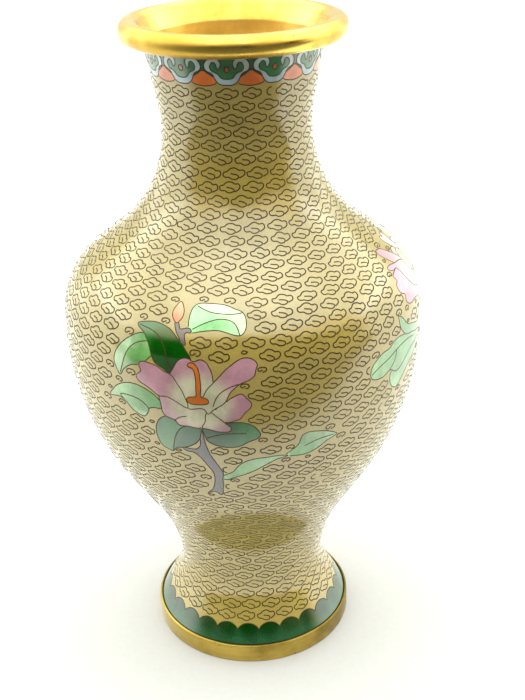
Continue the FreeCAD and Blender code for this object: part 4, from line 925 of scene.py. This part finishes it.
def enamel(name, mottle=0.1, grain=0.06, gloss=0.1, streak=0.0):
    """Fired glass: cloudy colour, fine grain, a few pits, and a hand-polished surface."""
    look = Look(name)
    colour = look.node("VertexColor", layer_name="paint").outputs["Color"]
    cloudy = look.span(look.noise(110, 4), 0.3, 0.7, 1 - mottle, 1 + mottle)
    grainy = look.span(look.noise(1500, 2), 0.25, 0.75, 1 - grain, 1 + grain)
    tone = look.sum(cloudy, grainy, "MULTIPLY")
    if streak:
        brushed = look.span(look.noise(260, 3, (1.0, 1.0, 0.25)), 0.3, 0.7, 1 - streak, 1 + streak)
        tone = look.sum(tone, brushed, "MULTIPLY")
    colour = look.mix(1.0, colour, look.node("CombineColor", {0: tone, 1: tone, 2: tone}).outputs[0],
                      "MULTIPLY")
    pits = specks(look, 210, 0.035, 0.05)
    dots = specks(look, 760, 0.12, 0.10)
    colour = look.mix(look.sum(dots, 0.35, "MULTIPLY"), colour, tint(rgb(110, 96, 60)))
    colour = look.mix(pits, colour, tint(rgb(24, 18, 10)))
    rough = look.sum(look.span(look.noise(45, 3), 0.3, 0.7, gloss * 0.7, gloss * 1.5),
                     look.sum(pits, 0.5, "MULTIPLY"))
    normal = look.bump(look.noise(85, 2), 0.00005)
    normal = look.bump(look.noise(900, 2), 0.000004, normal)
    normal = look.bump(look.sum(1.0, pits, "SUBTRACT"), 0.00005, normal)
    return look.set(Base_Color=colour, Roughness=rough, Normal=normal, IOR=1.9)


def metal(name, bright, dull, shine=(0.2, 0.4), tarnish=0.25, joint=None, bare=1.0):
    """Turned metal: fine lathe lines, cloudy tarnish, small dark specks."""
    look = Look(name)
    patches = look.span(look.noise(38, 5, rough=0.6), 0.38, 0.68, 0, 1)
    colour = look.mix(patches, tint(bright), tint(dull))
    rings = look.noise(14, 3, (1.0, 1.0, 160.0))
    colour = look.mix(look.span(rings, 0.35, 0.75, 0, 0.3), colour, tint(dull))
    spots = specks(look, 260, 0.10, tarnish)
    fine = specks(look, 900, 0.16, tarnish)
    dark_marks = look.sum(look.sum(spots, fine, "MAXIMUM"), 0.75, "MULTIPLY")
    if joint is not None:
        dark_marks = look.sum(dark_marks, joint(look), "MAXIMUM")
    colour = look.mix(dark_marks, colour, tint(rgb(48, 34, 12)))
    rough = look.sum(look.span(patches, 0, 1, *shine), look.sum(dark_marks, 0.3, "MULTIPLY"))
    normal = look.bump(rings, 0.00001)
    normal = look.bump(look.noise(160, 3), 0.00003, normal)
    return look.set(Base_Color=colour, Metallic=bare, Roughness=rough, Normal=normal)


def ring_joint(look):
    """A dark band on top of the foot ring, along its edge next to the enamel."""
    parts = look.node("SeparateXYZ", {0: look.where()})
    x, y, z = parts.outputs
    around = look.sum(look.sum(x, x, "MULTIPLY"), look.sum(y, y, "MULTIPLY"))
    r = look.sum(around, 0.5, "POWER")
    return look.sum(look.span(r, 0.0406, 0.0401, 0, 1), look.span(z, 0.0074, 0.0078, 0, 1), "MULTIPLY")


GOLD, OLD_GOLD = rgb(226, 194, 98), rgb(180, 148, 66)
looks = {
    "gilt": metal("gilt_brass", GOLD, OLD_GOLD, (0.24, 0.42)),
    "ring": metal("worn_brass", rgb(166, 143, 72), rgb(114, 96, 44), (0.28, 0.48), 0.3, ring_joint),
    "inner": metal("gilt_inside", rgb(232, 200, 118), rgb(196, 158, 80), (0.34, 0.52), 0.2),
    "copper": metal("spun_copper", rgb(200, 118, 82), rgb(140, 78, 54), (0.3, 0.5), 0.3),
    "wire": metal("wire", rgb(70, 54, 18), rgb(44, 32, 10), (0.45, 0.6), 0.3, bare=0.4),
    "petal": enamel("petal_enamel", 0.16, 0.05, 0.1, 0.08),
    "leaf": enamel("leaf_enamel", 0.2, 0.06, 0.1, 0.12),
    "field": enamel("field_enamel", 0.06, 0.07, 0.11),
    "plain": enamel("border_enamel", 0.16, 0.06, 0.09),
    "branch": enamel("branch_enamel", 0.25, 0.12, 0.14, 0.15),
}

# ------------------------------------------------------------------ pieces of the skin

CELLS = [
    ("field", "field", "field_cream"), ("collar_ground", "plain", "collar_green"),
    ("foot_border", "plain", "border_green"), ("collar_drop", "plain", "stamen_orange"),
    ("ruyi_dot", "plain", "stamen_orange"), ("ruyi_scroll", "petal", "scroll_blue"),
    ("ruyi_field", "plain", "collar_green"), ("magnolia_stamen", "plain", "stamen_orange"),
    ("magnolia_petal", "petal", "petal_pink"), ("magnolia_bud", "petal", "bud_orange"),
    ("magnolia_branch", "branch", "branch_brown"), ("magnolia_pale_leaf", "leaf", "leaf_pale"),
    ("magnolia_dark_leaf", "leaf", "leaf_dark"), ("magnolia_sage_leaf", "leaf", "leaf_sage"),
    ("peony_heart", "petal", "heart_yellow"), ("peony_petal", "petal", "petal_pink"),
    ("peony_leaf", "leaf", "leaf_sage"), ("blue_peony_heart", "petal", "heart_yellow"),
    ("blue_peony_petal", "petal", "petal_blue"), ("blue_peony_leaf", "leaf", "leaf_sage"),
]
for kind, look, slot in CELLS:
    finish_piece(cell_piece(kind), looks[look], slot, kind + "_enamel")

WIRES = {"magnolia": "magnolia_wires", "peony": "peony_wires", "blue_peony": "blue_peony_wires",
         "collar": "collar_wires"}
for spray, cad_node in WIRES.items():
    runs = []
    for owner_spray, points, closed, above in lines:
        if owner_spray == spray or (spray == "collar" and owner_spray == "ruyi"):
            first = above - above % 3 if owner_spray == "ruyi" else 0
            covers = [cell for cell in cells[:above] if cell.kind != "foot_border"]
            runs += visible_runs(points, closed, covers)
    finish_piece(bars(spray + "_wire_lines", runs, 0.42), looks["wire"], "wire_gilt", cad_node)
middle_border = border[np.abs(border[:, 0]) <= EDGE + 1e-6][:-1]
finish_piece(bars("foot_border_wire_line", [(middle_border, True)], 0.42), looks["wire"],
             "wire_gilt", "foot_border_wire")

wires = cloud_wires()
share = -(-len(wires) // 5)
for k in range(5):
    group = [(wire, False) for wire in wires[k * share:(k + 1) * share]]
    finish_piece(bars("cloud_wires_%d" % (k + 1), group, 0.56), looks["wire"], "wire_gilt")

# ------------------------------------------------------------------ turned metal


def lathe(name, outline, steps=288):
    """A closed outline (radius, height in mm) turned round the axis."""
    outline = np.array(outline) * MM
    n = len(outline)
    a = np.linspace(0, 2 * math.pi, steps, endpoint=False)
    verts = np.stack((np.outer(np.sin(a), outline[:, 0]), -np.outer(np.cos(a), outline[:, 0]),
                      np.tile(outline[:, 1], (steps, 1))), axis=-1).reshape(-1, 3)
    i, k = np.meshgrid(np.arange(steps), np.arange(n), indexing="ij")
    i, k = i.ravel(), k.ravel()
    i2, k2 = (i + 1) % steps, (k + 1) % n
    quads = np.stack((i * n + k, i2 * n + k, i2 * n + k2, i * n + k2), axis=1)
    piece = mesh_object(name, verts, [quads], smooth_faces=np.ones(len(quads), bool))
    piece.data.set_sharp_from_angle(angle=math.radians(35))
    return piece


def arc(centre, radius, first, last, count):
    a = np.radians(np.linspace(first, last, count))
    return [(centre[0] + radius * math.cos(t), centre[1] + radius * math.sin(t)) for t in a]


def wall(near, far, low, high):
    """Outline of a layer between two depths and two heights."""
    runs = np.linspace(run_at_height(low), run_at_height(high), 140)
    leans = np.radians(np.interp(runs, RUN, LEAN))
    sides = []
    for depth in (near, far):
        r = radius_at(runs) - depth * np.cos(leans)
        z = np.clip(height_at(runs) + depth * np.sin(leans), low, high)
        sides.append(np.column_stack((r, z)))
    return np.vstack((sides[0], sides[1][::-1]))


roll_c, roll_r = (36.7, 250.1), 3.9
drop = roll_c[1] - 247.0
seat = (roll_c[0] - math.sqrt(roll_r ** 2 - drop ** 2), 247.0)
bore = (30.3, 247.0)
reach = math.hypot(bore[0] - roll_c[0], bore[1] - roll_c[1])
touch = math.degrees(math.atan2(bore[1] - roll_c[1], bore[0] - roll_c[0])
                     - math.acos(roll_r / reach))
first = math.degrees(math.atan2(seat[1] - roll_c[1], seat[0] - roll_c[0]))
mouth = [bore] + arc(roll_c, roll_r, first, touch + 360, 72)
finish_piece(lathe("mouth_roll", mouth), looks["gilt"], "gilt_brass", "mouth_ring")
ring = ([(38.75, 0.0)] + arc((40.45, 0.7), 0.7, -90, 0, 8) + arc((40.45, 7.4), 0.7, 0, 90, 8)
        + [(39.9, 8.1), (36.0, 8.1), (36.0, 6.6), (38.75, 6.6)])
finish_piece(lathe("foot_band", ring), looks["ring"], "gilt_brass", "foot_ring")
finish_piece(lathe("neck_tube", wall(1.0, 2.0, 186.0, 247.0)), looks["inner"], "copper_wall",
             "neck_shell")
finish_piece(lathe("belly_bowl", wall(1.0, 2.0, 52.0, 186.0)), looks["copper"], "copper_wall",
             "belly_shell")
finish_piece(lathe("foot_cone", wall(1.0, 2.0, 8.1, 52.0)), looks["copper"], "copper_wall",
             "foot_shell")

# ------------------------------------------------------------------ carried-over nodes


def glaze(name, colour):
    """The blue counter enamel, inside and underneath."""
    look = Look(name)
    cloudy = look.span(look.noise(90, 5), 0.3, 0.7, 0, 1)
    tone = look.mix(cloudy, tint(colour * 0.75), tint(colour * 1.2))
    dots = specks(look, 300, 0.14, 0.35)
    tone = look.mix(look.sum(dots, 0.6, "MULTIPLY"), tone, tint(rgb(20, 30, 60)))
    normal = look.bump(look.noise(160, 3), 0.00012)
    rough = look.span(look.noise(70, 2), 0.3, 0.7, 0.14, 0.3)
    return look.set(Base_Color=tone, Roughness=rough, Normal=normal)


blue = glaze("counter_enamel", rgb(64, 118, 168))
for name, look in (("lining_enamel", blue), ("base_enamel", blue), ("base_plate", looks["copper"])):
    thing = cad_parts[name]
    thing.data.materials.clear()
    thing.data.materials.append(look)

# ------------------------------------------------------------------ stage

# soft light from above and from the sides; the side of the room behind the camera is dark
TOP_GLOW, ZENITH_GLOW, SIDE_GLOW, SIDE_BEAM, BACK_GLOW, FRONT_GLOW = 2.4, 1.3, 0.5, 1.9, 0.7, 0.03
room = bpy.data.worlds.new("room")
room.use_nodes = True
bpy.context.scene.world = room
sky = Look("room", room.node_tree)
glow = room.node_tree.nodes["Background"]
x, y, z = sky.node("SeparateXYZ", {0: sky.node("TexCoord").outputs["Generated"]}).outputs
ahead_of = sky.sum(y, sky.sum(x, 0.14, "MULTIPLY"), "SUBTRACT")
front = sky.sum(sky.span(ahead_of, -0.14, -0.46, 0, 1), sky.span(z, 0.7, 0.44, 0, 1), "MULTIPLY")
sideways = sky.sum(x, 0.0, "ABSOLUTE")
overhead = sky.span(sky.sum(z, sky.sum(sideways, 0.3, "MULTIPLY")), 0.5, 0.68, 0, TOP_GLOW)
overhead = sky.sum(overhead, sky.span(z, 0.8, 0.98, 0, ZENITH_GLOW))
beside = sky.sum(sideways, sky.sum(y, 0.26, "MULTIPLY"))
beside = sky.span(beside, 0.78, 0.97, 0, SIDE_BEAM)
seen = sky.node("LightPath").outputs["Is Camera Ray"]
behind = sky.span(y, 0.05, 0.6, 0, BACK_GLOW)
level = sky.sum(sky.sum(sky.span(front, 0, 1, SIDE_GLOW, FRONT_GLOW), overhead), sky.sum(beside, behind))
level = sky.sum(sky.sum(level, sky.sum(1.0, seen, "SUBTRACT"), "MULTIPLY"), seen)
tinted = sky.mix(seen, (0.97, 1.0, 0.94, 1.0), (1.0, 1.0, 1.0, 1.0))
warm = sky.mix(sky.sum(front, sky.sum(1.0, seen, "SUBTRACT"), "MULTIPLY"), tinted,
               (1.0, 0.8, 0.5, 1.0))
sky.feed(glow.inputs["Color"], warm)
sky.feed(glow.inputs["Strength"], level)

top = [(-3, -3), (3, -3), (3, 3), (-3, 3)]
floor = mesh_object("floor", [(x, y, 0.0) for x, y in top], [np.array([[0, 1, 2, 3]])])
paper = Look("paper")
x, y, z = paper.node("SeparateXYZ", {0: paper.where()}).outputs
seen = paper.node("LightPath").outputs["Is Camera Ray"]
# painted shade: for reflected and bounced rays the floor in front of the vase is nearly black, standing
# in for the shade in front of it; the camera sees the floor evenly pale
painted_front_shade = paper.sum(paper.span(y, -0.11, -0.24, 0, 1), paper.sum(1.0, seen, "SUBTRACT"), "MULTIPLY")
speckle = paper.span(paper.noise(400, 2), 0.3, 0.7, 0.73, 0.75)
speckle = paper.sum(speckle, paper.span(seen, 0, 1, 1, 0.6), "MULTIPLY")
pale = paper.node("CombineColor", {0: speckle, 1: speckle, 2: speckle}).outputs[0]
paper.set(Base_Color=paper.mix(painted_front_shade, pale, (0.05, 0.048, 0.043, 1)), Roughness=0.8)
floor.data.materials.append(paper.material)


def lamp(name, place, size, power):
    data = bpy.data.lights.new(name, "AREA")
    data.shape, data.size, data.energy = "DISK", size, power
    lit = bpy.data.objects.new(name, data)
    lit.location = place
    lit.rotation_mode = "QUATERNION"
    lit.rotation_quaternion = (Vector((0, 0, 0.14)) - Vector(place)).to_track_quat("-Z", "Y")
    bpy.context.scene.collection.objects.link(lit)


lamp("window", (0.35, -0.45, 0.9), 0.4, 0.1)
lamp("ceiling", (-0.25, -0.35, 1.0), 0.4, 0.1)

camera_data = bpy.data.cameras.new("camera")
camera_data.lens, camera_data.sensor_width = 58.6, 36.0
camera_data.clip_start = 0.01
camera = bpy.data.objects.new("camera", camera_data)
bpy.context.scene.collection.objects.link(camera)
eye, target, roll = Vector((0.0, -0.4073, 0.3243)), Vector((0.0070, 0.0, 0.1234)), -1.62
ahead = (target - eye).normalized()
right = ahead.cross(Vector((0, 0, 1))).normalized()
up = right.cross(ahead)
c, s = math.cos(math.radians(roll)), math.sin(math.radians(roll))
right, up = right * c + up * s, up * c - right * s
camera.matrix_world = Matrix((right, up, -ahead)).transposed().to_4x4()
camera.location = eye
bpy.context.scene.camera = camera
bpy.context.scene.view_settings.view_transform = "Standard"
